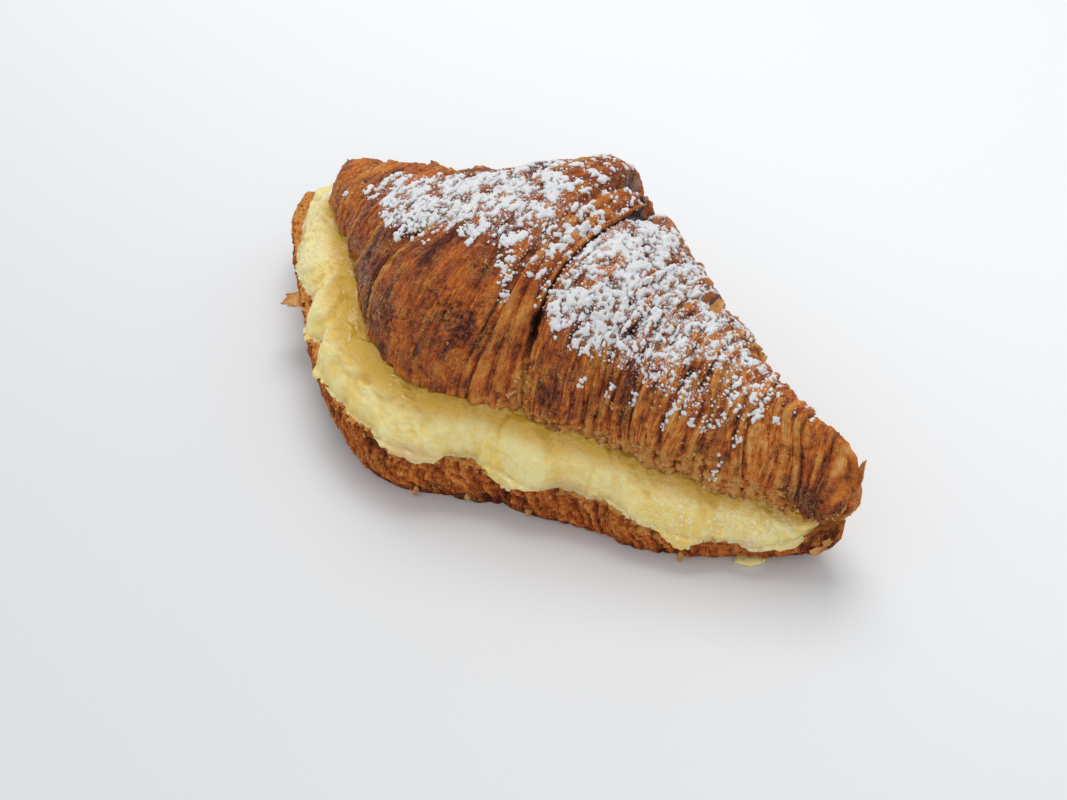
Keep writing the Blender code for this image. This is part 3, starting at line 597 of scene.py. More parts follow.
def lowerWall(grid, up, side, otherSide, tuck):
    x = grid["x"]
    outer = through(lower[side], x)
    middle = (outer + through(lower[otherSide], x)) / 2
    full = fullness(x, lower["tips"], lower["tipRound"])
    outward = np.sign(outer - middle)
    proud = lower["relief"] * grid["height"] + 0.6 * unevenness(x, 2.0 + up[None, :])
    distance = np.abs(outer - middle) * full
    reach = distance + full * (proud - through(lower[tuck], x) * (1 - up[None, :]) ** 2.5)
    reach = np.maximum(reach, lower["leastFoot"] * distance)
    floor = straight(lower["floor"], x)
    rim = through(lower["cut"], x)
    v = up[None, :] * (rim - floor)
    px, pz, u = x, floor + v, grid["u"]
    drift = 1.3 * noise(41, u / 7, v / 5) + 0.30 * v
    layers = noise(42, (u + drift) / 1.9, v / 14)
    threads = noise(43, (u + drift) / 0.8, v / 8)
    strip = np.minimum(2.6 * np.abs(layers), 1)
    strength = np.clip(0.75 + 0.9 * noise(44, u / 8, v / 9), 0, 1.2)
    fine = lower["laminationDepth"] * (strip - 0.6) * 1.6 * strength
    fine += 0.18 * threads + lower["lumpDepth"] * noise(45, px / 3.8, pz / 3.8, outward * 9)
    height = np.broadcast_to(up, x.shape)
    torn = spots(x, height, lower["torn"])
    crumbly = np.clip(smooth(0.45, 1.0, up)[None, :] + torn, 0, 1.3)
    crumple = wrinkles(71, px / 4.2 + 0.6 * noise(73, px / 3, pz / 3), pz / 3.4, outward * 7)
    fine += lower["crumpleDepth"] * crumple
    grit = noise(46, px / 1.1, pz / 1.1, outward * 9) + 0.6 * noise(47, px / 0.55, pz / 0.55, outward * 9)
    fine += lower["crumbDepth"] * grit * (0.4 + crumbly)
    cavity = spots(x, height, lower["cavities"])
    fine -= 2.2 * cavity * (1 + 0.4 * grit)
    settle = smooth(0.0, 0.12, up)[None, :]     # the foot stays on its line, so that it rests flat
    reach = reach + fine * full * settle
    # lift: raised bits painted lighter and dips darker, as painted light and shade
    lift = np.clip((fine - softened(fine, 8)) / 0.35, -1, 1)
    hollow = np.exp(-grid["left"] / 1.0) * np.clip(-edgeHeight(grid["wrap"], 0) / 3, 0, 1)
    burnt = spots(x, height, lower["burnt"])
    tone = lower["baseTone"] + weighed(lower["tones"], dict(
        lamination=noise(48, u / 3.2, v / 14), strands=noise(49, u + drift, v / 6),
        mottle=noise(50, px / 2.6, pz / 2.6, outward), lift=lift, crumple=crumple, cavity=cavity,
        hollow=hollow, foot=smooth(0.3, 0.0, up)[None, :], grit=grit,
        groove=smooth(0.5, 0.0, strip) * strength, threads=threads, burnt=burnt, leftEnd=smooth(-20, -45, x)))
    pale = weighed(lower["pales"], dict(
        crumb=crumbly * smooth(-0.3, 0.5, noise(51, px / 2.2, pz / 1.6, outward * 5)),
        torn=torn * (1 - burnt),
        strands=smooth(0.7, 1.0, strip) * smooth(-0.2, 0.3, threads) * strength, lift=np.clip(lift, 0, 1)))
    points = np.stack([x, middle + outward * reach, pz], -1)
    return points, dict(tone=tone, pale=pale, crumb=0.7 * np.clip(crumbly, 0, 1))


def makeLower():
    up = np.linspace(0, 1, lower["wallRows"])
    frontGrid = wrapGrid(np.zeros(len(up)), lower["tips"], lower["pitch"], 0.0)
    backGrid = wrapGrid(np.full(len(up), 150.0), lower["tips"], lower["pitch"], 0.0)
    count = len(frontGrid["x"])
    if len(backGrid["x"]) != count:   # the back's columns are spread again to match the front's
        old = np.linspace(0, 1, len(backGrid["x"]))
        new = np.linspace(0, 1, count)
        backGrid = {word: np.array([np.interp(new, old, lines[:, row]) for row in range(len(up))]).T
                    for word, lines in backGrid.items()}
    front, frontValues = lowerWall(frontGrid, up, "front", "back", "frontTuck")
    back, backValues = lowerWall(backGrid, up, "back", "front", "backTuck")
    full = fullness(frontGrid["x"], lower["tips"], lower["tipRound"])
    rag = lower["rimRag"] * smooth(0.8, 1.0, up)[None, :]
    for seed, wall in ((52, front), (53, back)):
        wall[..., 2] += full * rag * noiseAt(seed, 1.8, wall[..., :2])

    # The cut is open crumb: pores of two sizes between thin walls, finer rows near both rims.
    rows = lower["cutRows"]
    spread = between(rows)
    spread = spread - 0.13 * np.sin(2 * np.pi * spread)
    cutFace = front[:, -1:] + (back[:, -1:] - front[:, -1:]) * spread[None, :, None]
    cx, cy = cutFace[..., 0], cutFace[..., 1]
    large = cells(54, cx / 2.6, cy / 2.1)[0]
    small = cells(55, cx / 1.1, cy / 0.9)[0]
    pores = smooth(0.30, 0.08, large) * smooth(0.0, 0.5, noise(78, cx / 4, cy / 4))
    pores = pores + 0.7 * smooth(0.34, 0.1, small)
    fall = 0.8 * pores + 0.25 * noise(56, cx / 0.8, cy / 0.8)
    cutFace[..., 2] = through(lower["cut"], cx) - full[:, :1] * np.clip(fall, -0.1, 1.2)
    bed = back[:, :1] + (front[:, :1] - back[:, :1]) * between(lower["bedRows"])[None, :, None]
    bed[..., 2] = straight(lower["floor"], bed[..., 0])

    def joined(front, cut, back, bed):   # once round a section, from the foot of the front wall
        return np.concatenate([front, cut, back[:, ::-1], bed], 1)

    def allRound(word, cut, bed):   # a value of the walls, with the cut's and the bed's
        return joined(frontValues[word], cut, backValues[word], bed)

    loops = joined(front, cutFace, back, bed)
    bx, by = bed[..., 0], bed[..., 1]
    bedTone = 0.34 + 0.14 * noise(57, bx / 5, by / 5) + 0.12 * noise(58, bx / 1.3, by / 1.3)
    # the cut's pores are painted darker and less pale, as shade inside them
    poreShare = np.clip(pores, 0, 1)
    palePores = 0.72 + 0.2 * noise(59, cx / 1.5, cy / 1.5) - 0.65 * poreShare
    frontCrumbs, backCrumbs = [smooth(0.45, 0.7, values["crumb"]) for values in (frontValues, backValues)]
    blank, bare = np.zeros(loops.shape[:2]), np.zeros(bx.shape)
    values = dict(tone=np.clip(allRound("tone", 0.72 - 0.5 * poreShare, bedTone), 0, 1),
                  pale=np.clip(allRound("pale", palePores, bare), 0, 1),
                  gloss=blank, dust=blank, grain=blank + 0.4,
                  crumb=allRound("crumb", 1 + 0 * cx, 0.3 + bare),
                  crumbs=joined(frontCrumbs, 0.3 * smooth(0.3, 0.0, pores), backCrumbs, bare))
    v = pathLengths(loops)
    u = np.broadcast_to(frontGrid["u"][:, :1], v.shape)

    def rim(x):   # how far forward the upper part of the front wall stands
        edge = front[:, -8:, 1].min(axis=1)
        order = np.argsort(front[:, -1, 0])
        places = [np.interp(x + move, front[order, -1, 0], edge[order])
                  for move in np.linspace(-1.5, 1.5, 9)]
        return 0.5 * np.min(places, axis=0) + 0.5 * np.mean(places, axis=0)

    return skin("lower_crust", loops, ends(lower, loops), values, u, v), rim


# The pastry cream: spread in lumps, pressed out round the edge and hanging over the rim in places.
cream = dict(
    tips=(-82.0, 79.0), tipRound=(9.0, 4.0), poleHeights=(18.0, 12.0), clearance=0.3,
    columns=400, faceRows=92, beadRows=22,
    roundness=[(-82, 1.05), (-58, 1.1), (-44, 1.6), (0, 1.7), (60, 1.5), (81, 1.3)],
    # how far its lower edge stands back from the rim, and how far it hangs below it
    setback=[(-82.5, 4.3), (-78, 4.1), (-72, 3.4), (-68, 1.9), (-64, 1.1), (-60, 1.3), (-56, 2.4),
             (-51, 4.0), (-48.5, 5.2), (-46.7, 2.1), (-44.9, 0.4), (-41.6, 0.9), (-38.5, 3.3),
             (-34.6, 3.6), (-33.6, 1.0), (-32.6, -0.4), (-28, 0.6), (-23.7, 1.0), (-20, 2.1),
             (-16.6, 1.3), (-8.8, 1.0), (-5, 0.0), (6.9, 0.0), (7.6, 1.6), (10.2, 3.1), (13.2, 3.1),
             (15.1, 1.6), (17, 0.2), (25.7, 0.0), (28.6, 0.6), (30.9, 1.8), (33.9, 2.4), (37.5, 1.8),
             (40.5, 3.0), (42.5, 2.0), (45.0, 1.8), (48, 0.8), (52, 1.0), (55.7, 0.0), (60.1, 0.0),
             (61.2, 0.2), (64.2, 1.1), (67.8, 1.2), (71.6, 0.2), (76.5, 0.2), (79, 0.8)],
    hanging=[(-46, 0), (-44.5, 1.2), (-42, 0.7), (-36, 0), (-34, 0.4), (-32.6, 1.6), (-30, 0.6), (-20, 0),
             (-6, 0.3), (-2, 1.0), (3, 1.8), (6.5, 1.3), (7.5, 0), (14, 0), (16, 0.7), (18.5, 2.6),
             (20, 3.6), (21.5, 2.0), (24, 0.9), (28, 0.4), (31, 0), (39, 0), (41.5, 0.8), (44, 0.2),
             (47, 0), (54, 0.3), (57, 2.3), (58.8, 3.0), (60.5, 0.9), (63, 0), (70, 0.1), (74, 1.0),
             (76, 2.0), (77.6, 2.8), (79, 1.5)],
    # where it thins out over the crust: x and reach
    films=[(2, 5.5), (33, 7.5), (-51, 2.5), (70, 3)],
    lumpDepth=1.0, curdDepth=0.42, foldDepth=0.30, grainDepth=0.16,
    # x, y, their radii, height
    pads=[(33, -25, 8.5, 4.2, 0.8), (22, -31.5, 6, 4, 0.9), (-43, -29, 5, 4.5, 1.2),
          (-30.5, -37, 4.5, 4.5, 1.0), (-19, -38, 8, 4, 0.9), (3, -37, 7, 4, 0.8), (52, -18, 8, 4, 0.8),
          (66, -12, 6, 3.5, 0.6), (-60, -17, 6, 4, 0.8), (-10, -40, 5, 3, 0.6)],
    # x at the rim, x at the end, how far down the wall, radius
    drips=[(20, 20.6, 4.6, 1.0), (58.6, 59.2, 4.2, 0.7), (-44.5, -45, 3.0, 0.8)],
    # what has run under the right end: x, y and radius along its edge, and how far back it reaches
    puddle=[(66.6, -12.8, 0.3), (68.4, -12.3, 0.8), (70.0, -11.5, 1.0), (71.2, -10.0, 0.9),
            (71.9, -8.4, 0.4)],
    puddleDepth=3.6)


def creamDepth(x):
    t = np.clip((x - cream["tips"][0]) / 16.0, 0, 1)
    end = np.clip((cream["tips"][1] - x) / 6.0, 0, 1)
    return (0.25 + 0.75 * t * t * (3 - 2 * t)) * (0.4 + 0.6 * end)


def makeCream(rim):
    spread = between(cream["columns"])
    eased = 0.6 * spread + 0.4 * (0.5 - 0.5 * np.cos(np.pi * spread))
    x = cream["tips"][0] + (cream["tips"][1] - cream["tips"][0]) * eased
    full = fullness(x, cream["tips"], cream["tipRound"])
    lowFront = rim(x) + straight(cream["setback"], x) + 0.35 * noise(66, x / 2.2, 0 * x) + 0.6
    lowBack = through(lower["back"], x) - 1.0
    middle = (lowFront + lowBack) / 2
    highFront = np.minimum(np.maximum(through(upper["front"], x) + 2.5, lowFront + 3.0), middle - 0.5)
    highBack = np.maximum(np.minimum(through(upper["back"], x) - 2.0, lowBack + 1.0), middle + 0.5)
    bed = through(lower["cut"], x) + cream["clearance"]
    roof = bed + (through(upper["cut"], x) - cream["clearance"] - bed) * creamDepth(x)

    def line(start, end, shares, low, high):   # y, share of the height, and how free the face is
        shares = np.asarray(shares)[None, :]
        return (start[:, None] + shares * (end - start)[:, None],
                low + shares * (high - low) + 0 * start[:, None],
                np.zeros((len(x), shares.shape[1])))

    face = np.linspace(1, 0, cream["faceRows"])
    frontY = highFront[:, None] + face[None, :] * (lowFront - highFront)[:, None]
    roundness = through(cream["roundness"], x)[:, None]
    frontUp = (1 - face[None, :] ** roundness) ** (1 / roundness)
    frontFree = smooth(0, 0.2, face) * (0.4 + 0.6 * smooth(1, 0.75, face)) + 0 * frontY
    backFace = np.linspace(1, 0, 26)
    bulge = 1.2 + 0.8 * noise(94, x / 7, 0 * x)
    backY = lowBack[:, None] + backFace * (highBack - lowBack)[:, None]
    backY = backY + bulge[:, None] * np.sin(np.pi * backFace) ** 0.6
    backUp = backFace + 0 * backY
    roofY, roofUp, roofFree = line(highFront, highBack, between(32), 1.0, 1.0)
    roofFree = roofFree + smooth(-72, -77, x)[:, None]      # not under the crust there
    bedY, bedUp, bedFree = line(lowBack, lowFront, between(32), 0.0, 0.0)
    y = np.concatenate([frontY, roofY, backY, bedY], 1)
    up = np.concatenate([frontUp, roofUp, backUp, bedUp], 1)
    free = np.concatenate([frontFree, roofFree, np.sin(np.pi * backFace) ** 0.5 + 0 * backY, bedFree], 1)
    y = middle[:, None] + (y - middle[:, None]) * full[:, None]
    z = bed[:, None] + (roof - bed)[:, None] * np.clip(up, 0, 1)
    isBack = np.arange(z.shape[1])[None, :] >= frontY.shape[1] + roofY.shape[1]
    sunk = smooth(0.16, 0.0, up) * smooth(middle[:, None], lowBack[:, None], y)
    z = z - 1.1 * full[:, None] * isBack * sunk
    points = np.stack([x[:, None] + 0 * y, y, z], -1)
    px, py, pz = points[..., 0], points[..., 1], points[..., 2]

    outward = gridNormals(points)
    warpX = px + 1.6 * noiseAt(61, 5, points[..., :2])
    warpY = py + 1.6 * noiseAt(62, 5, points[..., :2])
    lump = np.sin(0.33 * px + 0.2 * py) + 0.7 * np.sin(0.71 * px - 0.35 * py + 1.3)
    curd = 1 - 2.2 * np.abs(noise(63, warpX / 4.4, warpY / 3.4, pz / 6))
    fold = noise(64, warpX / 2.0, warpY / 1.6, pz / 3)
    grain = noiseAt(65, 0.8, points)
    tip = np.sqrt(full)[:, None]
    fine = 0.35 * cream["lumpDepth"] * lump + cream["curdDepth"] * curd + cream["foldDepth"] * fold
    for place, side, reachX, reachY, height in cream["pads"]:     # smooth dollops with a clear edge
        around = np.hypot((px - place) / reachX, (py - side) / reachY)
        fine = fine * (1 - 0.6 * smooth(1.0, 0.8, around)) + height * smooth(1.12, 0.78, around)
    proud = free * tip * fine + cream["grainDepth"] * np.clip(free, 0, 1) * grain
    points = points + outward * proud[..., None]

    # The foot is a rounded bead, which hangs over the rim in places.
    hang = straight(cream["hanging"], x) * (1 + 0.35 * noise(83, x / 1.5, 0 * x)) * full
    foot = (0.7 + 0.5 * np.clip(hang, 0, 1.2) + 0.25 * noise(67, x / 1.3, 0 * x)) * full
    share = between(cream["beadRows"])[None, :]
    start = points[:, :1]
    out = np.sin(np.pi / 2 * np.clip(share / 0.35, 0, 1)) * foot[:, None]
    out = out * (1 - 0.9 * smooth(0.8, 1.0, share))
    down = 0.35 * np.sin(np.pi / 2 * np.clip(share / 0.3, 0, 1)) * full[:, None]
    down = down + hang[:, None] * smooth(0.25, 0.85, share)
    side = np.stack([px[:, :1] + 0 * out, start[..., 1] - out, start[..., 2] - down], -1)
    side = side + (0.12 * noiseAt(68, 0.9, side))[..., None]
    loops = np.concatenate([side[:, ::-1], points], 1)

    def withBead(value, others):   # one value on the bead, and the others' own
        return np.concatenate([value + 0 * side[..., 0], others], 1)

    shade = withBead(0.0, smooth(0.45, 0.95, up) * smooth(-76, -64, x)[:, None])
    rim = withBead(0.5, smooth(0.16, 0.0, up) * np.clip(free + 0.3, 0, 1))
    lift = withBead(0.0, np.clip((fine - softened(fine, 14)) / 0.4, -1, 1))
    # rich: ridges painted paler and dips deeper yellow, as painted light and shade, over random patches
    rich = 0.5 + 0.36 * noise(69, loops[..., 0] / 7, loops[..., 1] / 5) - 0.28 * lift
    rich = rich - 0.2 * smooth(-50, -62, loops[..., 0]) - 0.10 * smooth(36, 48, loops[..., 0])
    # wet: where the cream is glossier and gets painted glints, most at the right
    wet = (0.35 + 0.65 * smooth(46, 58, loops[..., 0])) * (1 - 0.8 * shade)     # it glitters at the right
    film = sum(np.exp(-((x - place) / reach) ** 2) for place, reach in cream["films"])[:, None]
    low = withBead(1.0, smooth(0.35, 0.05, up) * np.clip(free + 0.3, 0, 1))
    rim = np.maximum(rim, np.clip(film, 0, 1) * low * 1.6)
    values = dict(shade=shade, rim=np.clip(rim, 0, 2), rich=np.clip(rich, 0, 1), wet=wet)
    return skin("pastry_cream", loops, ends(cream, loops), values, x[:, None], pathLengths(loops))


# Node trees: a wire carries an output socket, and sums written with it add their nodes.

class Wire:
    def __init__(self, recipe, socket):
        self.recipe = recipe
        self.socket = socket

    def sum(self, operation, first, second=0.0, third=0.0):
        return self.recipe.node("ShaderNodeMath", {"operation": operation}, {0: first, 1: second, 2: third})

    def __add__(self, other):
        return self.sum("ADD", self, other)

    def __sub__(self, other):
        return self.sum("SUBTRACT", self, other)

    def __rsub__(self, other):
        return self.sum("SUBTRACT", other, self)

    def __mul__(self, other):
        return self.sum("MULTIPLY", self, other)

    def __truediv__(self, other):
        return self.sum("DIVIDE", self, other)

    def __pow__(self, other):
        return self.sum("POWER", self, other)

    def gap(self, other):   # how far apart two values are
        return self.sum("ABSOLUTE", self - other)

    def ease(self, low, high):
        return self.recipe.node("ShaderNodeMapRange", {"interpolation_type": "SMOOTHSTEP"},
                                {"Value": self, "From Min": low, "From Max": high}, "Result")

    __radd__ = __add__
    __rmul__ = __mul__


class Recipe:
    def __init__(self, tree):
        self.tree = tree

    def node(self, kind, settings=None, values=None, output=0):
        made = self.tree.nodes.new(kind)
        for name, value in (settings or {}).items():
            if name == "stops":
                ramp = made.color_ramp
                while len(ramp.elements) < len(value):
                    ramp.elements.new(1.0)
                for element, (place, colour) in zip(ramp.elements, value):
                    element.position = place
                    element.color = (*colour, 1.0)
            else:
                setattr(made, name, value)
        for name, value in (values or {}).items():
            if isinstance(value, Wire):
                self.tree.links.new(value.socket, made.inputs[name])
            else:
                made.inputs[name].default_value = value
        return Wire(self, made.outputs[output])

    def attribute(self, name):
        return self.node("ShaderNodeAttribute", {"attribute_name": name}, output="Fac")

    def noise(self, where, scale, detail=3.0, roughness=0.55, distortion=0.0):
        return self.node("ShaderNodeTexNoise", {}, {
            "Vector": where, "Scale": scale, "Detail": detail, "Roughness": roughness,
            "Distortion": distortion}, "Fac")

    def mix(self, share, first, second, blend="MIX"):
        mixed = self.node("ShaderNodeMix", {"data_type": "RGBA", "blend_type": blend}, {}, 2)
        node = mixed.socket.node
        for place, value in ((0, share), (6, first), (7, second)):
            if isinstance(value, Wire):
                self.tree.links.new(value.socket, node.inputs[place])
            else:
                node.inputs[place].default_value = value if place == 0 else (*value, 1.0)
        return mixed

    def place(self):   # in metres on the object
        return self.node("ShaderNodeTexCoord", output="Object")

    def stretched(self, vector, scale):
        return self.node("ShaderNodeMapping", {}, {"Vector": vector, "Scale": scale})

    def bump(self, height, strength, depth):
        return self.node("ShaderNodeBump", {}, {"Strength": strength, "Distance": depth, "Height": height})

    def ramp(self, share, stops):
        return self.node("ShaderNodeValToRGB", {"stops": stops}, {0: share})


def scaled(recipe, vector, factor):
    return recipe.node("ShaderNodeVectorMath", {"operation": "SCALE"}, {0: vector, 3: factor})


def added(recipe, first, second):
    return recipe.node("ShaderNodeVectorMath", {"operation": "ADD"}, {0: first, 1: second})


def newMaterial(name, constants):
    material = bpy.data.materials.new(name)
    material.use_nodes = True
    recipe = Recipe(material.node_tree)
    shader = material.node_tree.nodes["Principled BSDF"]
    for label, value in constants.items():
        shader.inputs[label].default_value = value
    return material, recipe, shader


def feed(recipe, shader, **wires):
    for label, wire in wires.items():
        recipe.tree.links.new(wire.socket, shader.inputs[label.replace("_", " ")])


crustLook = dict(
    browns=[(0.0, (0.085, 0.020, 0.010)), (0.10, (0.180, 0.040, 0.015)), (0.24, (0.290, 0.063, 0.018)),
            (0.42, (0.450, 0.106, 0.021)), (0.6, (0.650, 0.182, 0.031)), (0.8, (0.780, 0.305, 0.072)),
            (1.0, (0.840, 0.480, 0.175))],
    # gap: near black, painted shadow in the slit and the holes
    dough=(0.740, 0.365, 0.096), dust=(0.80, 0.81, 0.84), gap=(0.022, 0.008, 0.005),
    streak=0.6, thread=1.0, speck=0.30, fleck=0.8, blotch=0.10, line=0.22, crack=0.12, worm=0.8,
    roughest=0.75, glossiest=0.42,
    bump=1.0, bumpDepth=0.0009)


def crustMaterial(name, sheen):
    look = crustLook
    material, recipe, shader = newMaterial(name, {"Coat Roughness": 0.25, "Specular IOR Level": 0.07,
                                                  "Subsurface Weight": 0.03, "Subsurface Scale": 0.0015})
    uv = recipe.node("ShaderNodeUVMap", {"uv_map": "along"})
    along = recipe.stretched(uv, (1.0, 0.065, 1.0))
    place = recipe.place()
    grain = recipe.attribute("grain")
    crumb = recipe.attribute("crumb")
    layered = (grain + 0.35) * (1.0 - crumb * 0.8)
    streaks = recipe.noise(along, 620.0, 5.0, 0.62, 0.6)
    threads = recipe.noise(along, 2400.0, 3.0, 0.6, 0.4)
    specks = recipe.noise(place, 1300.0, 5.0, 0.72)
    blotch = recipe.noise(place, 300.0, 3.0, 0.55)
    flecks = recipe.noise(place, 3800.0, 3.0, 0.6)
    lines = 1.0 - streaks.gap(0.5).ease(0.0, 0.05)
    worms = 1.0 - recipe.noise(place, 760.0, 2.0, 0.5, 1.8).gap(0.5).ease(0.008, 0.05)
    worms = worms * recipe.noise(place, 190.0, 2.0, 0.5).ease(0.48, 0.6) * (1.0 - crumb)
    warped = added(recipe, place, scaled(recipe, recipe.node("ShaderNodeTexNoise", {}, {
        "Vector": place, "Scale": 700.0, "Detail": 2.0}, "Color"), 0.0016))
    edges = recipe.node("ShaderNodeTexVoronoi", {"feature": "DISTANCE_TO_EDGE"},
                        {"Vector": warped, "Scale": 620.0})
    cracks = (1.0 - edges.ease(0.0, 0.14)) * blotch.ease(0.42, 0.6) * (1.0 - crumb)
    tone = recipe.attribute("tone")
    # the same noises raise the bump and lighten the colour, so crests are painted lighter and pits darker as
    # shade, on top of the crust's own mottling
    tone = tone + ((streaks - 0.5) * look["streak"] + (threads - 0.5) * look["thread"]) * layered
    tone = tone + (specks - 0.5) * (crumb * 0.5 + look["speck"]) + (blotch - 0.5) * look["blotch"]
    tone = tone + (flecks - 0.5) * look["fleck"]
    tone = tone - lines * layered * look["line"] - cracks * look["crack"] + 0.04
    brown = recipe.ramp(tone, look["browns"])
    light = threads.ease(0.54, 0.68) * streaks.ease(0.42, 0.6) * layered * 0.5
    pale = recipe.attribute("pale") + light + (specks - 0.5) * 0.7 + (flecks - 0.5) * 0.9
    pale = pale - lines * layered * 0.3
    pale = (pale + worms * look["worm"]).ease(0.1, 1.0)
    colour = recipe.mix(pale * 0.8, brown, look["dough"])
    # painted shadow: the slit and the holes go near black
    colour = recipe.mix(recipe.attribute("dark").ease(0.15, 0.75) * 0.85, colour, look["gap"])
    flour = (recipe.noise(place, 3300.0, 2.0, 0.6) + recipe.attribute("dust") * 0.30).ease(0.74, 0.86)
    colour = recipe.mix(flour * 0.6, colour, look["dust"])
    rough = recipe.attribute("gloss").ease(0.0, 1.0) * (look["glossiest"] - look["roughest"])
    rough = rough + look["roughest"] + (specks - 0.5) * 0.25 + flour * 0.2
    coat = recipe.attribute("gloss") * sheen * specks.ease(0.45, 0.6)
    height = (streaks * 0.6 + threads * 0.25 - lines * 0.12) * layered
    height = height + specks * (crumb * 0.4 + 0.4) - cracks * 0.12
    height = height + flecks * 0.22 + worms * 0.12
    bump = recipe.bump(height, look["bump"], look["bumpDepth"])
    feed(recipe, shader, Base_Color=colour, Roughness=rough, Coat_Weight=coat, Normal=bump)
    return material


flakeLook = dict(browns=[(0.0, (0.44, 0.15, 0.035)), (0.5, (0.69, 0.34, 0.105)), (1.0, (0.82, 0.55, 0.25))],
                 bump=0.8, bumpDepth=0.0004)


def flakeMaterial():
    look = flakeLook
    material, recipe, shader = newMaterial("loose flakes", {
        "Subsurface Weight": 0.1, "Subsurface Radius": (1.0, 0.6, 0.3), "Subsurface Scale": 0.0005,
        "Specular IOR Level": 0.2})
    place = recipe.place()
    patchy = recipe.noise(place, 420.0, 3.0, 0.6)
    fine = recipe.noise(place, 1900.0, 4.0, 0.7)
    share = (patchy - 0.5) * 1.8 + (fine - 0.5) * 0.9 + 0.5
    colour = recipe.ramp(share, look["browns"])
    bump = recipe.bump(fine, look["bump"], look["bumpDepth"])
    feed(recipe, shader, Base_Color=colour, Roughness=0.55 + (fine - 0.5) * 0.3, Normal=bump)
    return material


creamLook = dict(light=(1.0, 0.845, 0.385), deep=(0.94, 0.65, 0.13), under=(0.65, 0.37, 0.02),
                 film=(0.72, 0.47, 0.24), glint=(1.0, 0.98, 0.82), bump=0.8, bumpDepth=0.0007)


def creamMaterial():
    look = creamLook
    material, recipe, shader = newMaterial("pastry cream", {
        "Subsurface Weight": 0.35, "Subsurface Radius": (1.0, 0.62, 0.22), "Subsurface Scale": 0.002,
        "IOR": 1.42, "Coat Roughness": 0.1, "Specular IOR Level": 0.35})
    place = recipe.place()
    soft = recipe.noise(place, 240.0, 3.0, 0.5)
    wet = recipe.noise(place, 1000.0, 4.0, 0.62, 0.6)
    fine = recipe.noise(place, 2600.0, 2.0, 0.6, 0.8)
    smear = recipe.noise(recipe.stretched(place, (0.5, 1.0, 1.4)), 700.0, 3.0, 0.6)
    rich = recipe.attribute("rich") * 0.5 + soft * 0.5 + (smear - 0.5) * 0.5 + (wet - 0.5) * 0.35
    rich = rich + (recipe.attribute("wet") - 0.35) * 0.22
    colour = recipe.mix(rich.ease(0.3, 0.8), look["light"], look["deep"])
    colour = recipe.mix(recipe.attribute("shade").ease(0.0, 1.0) * 0.9, colour, look["under"])
    film = (recipe.attribute("rim") + (wet - 0.5) * 0.9).ease(0.3, 1.1)
    colour = recipe.mix(film * 0.6, colour, look["film"])
    # painted glints: small light streaks in the base colour where the cream is wet
    glitter = recipe.noise(recipe.stretched(place, (0.3, 1.0, 1.0)), 2500.0, 2.0, 0.6, 1.2)
    sparkle = glitter.ease(0.56, 0.62) * recipe.attribute("wet").ease(0.0, 1.0) * soft.ease(0.36, 0.54)
    colour = recipe.mix(sparkle * 0.9, colour, look["glint"])
    rough = 0.36 + (wet - 0.5) * 0.4 - sparkle * 0.15
    coat = soft.ease(0.36, 0.56) * 0.7
    height = soft * 0.5 + wet * 0.7 + smear * 0.4 + fine * 0.22
    bump = recipe.bump(height, look["bump"], look["bumpDepth"])
    feed(recipe, shader, Base_Color=colour, Roughness=rough, Coat_Weight=coat, Normal=bump)
    return material


sugarLook = dict(shade=(0.86, 0.87, 0.90), white=(0.97, 0.97, 0.97), bump=1.0, bumpDepth=0.0004)


def sugarMaterial():
    look = sugarLook
    material, recipe, shader = newMaterial("icing sugar", {
        "Subsurface Weight": 0.25, "Subsurface Scale": 0.0005, "Specular IOR Level": 0.2})
    place = recipe.place()
    fine = recipe.noise(place, 2600.0, 5.0, 0.75)
    colour = recipe.mix(fine.ease(0.3, 0.65), look["shade"], look["white"])
    bump = recipe.bump(fine, look["bump"], look["bumpDepth"])
    feed(recipe, shader, Base_Color=colour, Roughness=0.85 + fine * 0.1, Normal=bump)
    return material


# Geometry Nodes.

def newTree(name, sizes):   # a tree with a geometry, sizes by name, a seed and a material as its inputs
    tree = bpy.data.node_groups.new(name, "GeometryNodeTree")
    tree.interface.new_socket("Geometry", in_out="INPUT", socket_type="NodeSocketGeometry")
    for label, value in sizes.items():
        kind = {int: "NodeSocketInt", float: "NodeSocketFloat"}.get(type(value), "NodeSocketMaterial")
        if value is bpy.types.Object:
            kind = "NodeSocketObject"
        socket = tree.interface.new_socket(label, in_out="INPUT", socket_type=kind)
        if kind in ("NodeSocketInt", "NodeSocketFloat"):
            socket.default_value = value
    tree.interface.new_socket("Geometry", in_out="OUTPUT", socket_type="NodeSocketGeometry")
    recipe = Recipe(tree)
    start = tree.nodes.new("NodeGroupInput")
    inputs = {socket.name: Wire(recipe, socket) for socket in start.outputs if socket.name}
    return tree, recipe, inputs


def endTree(recipe, geometry, material, shadeSmooth=True):
    whole = recipe.node("GeometryNodeRealizeInstances", {}, {"Geometry": geometry})
    if shadeSmooth:
        whole = recipe.node("GeometryNodeSetShadeSmooth", {}, {"Geometry": whole})
    done = recipe.node("GeometryNodeSetMaterial", {}, {"Geometry": whole, "Material": material})
    end = recipe.tree.nodes.new("NodeGroupOutput")
    recipe.tree.links.new(done.socket, end.inputs[0])


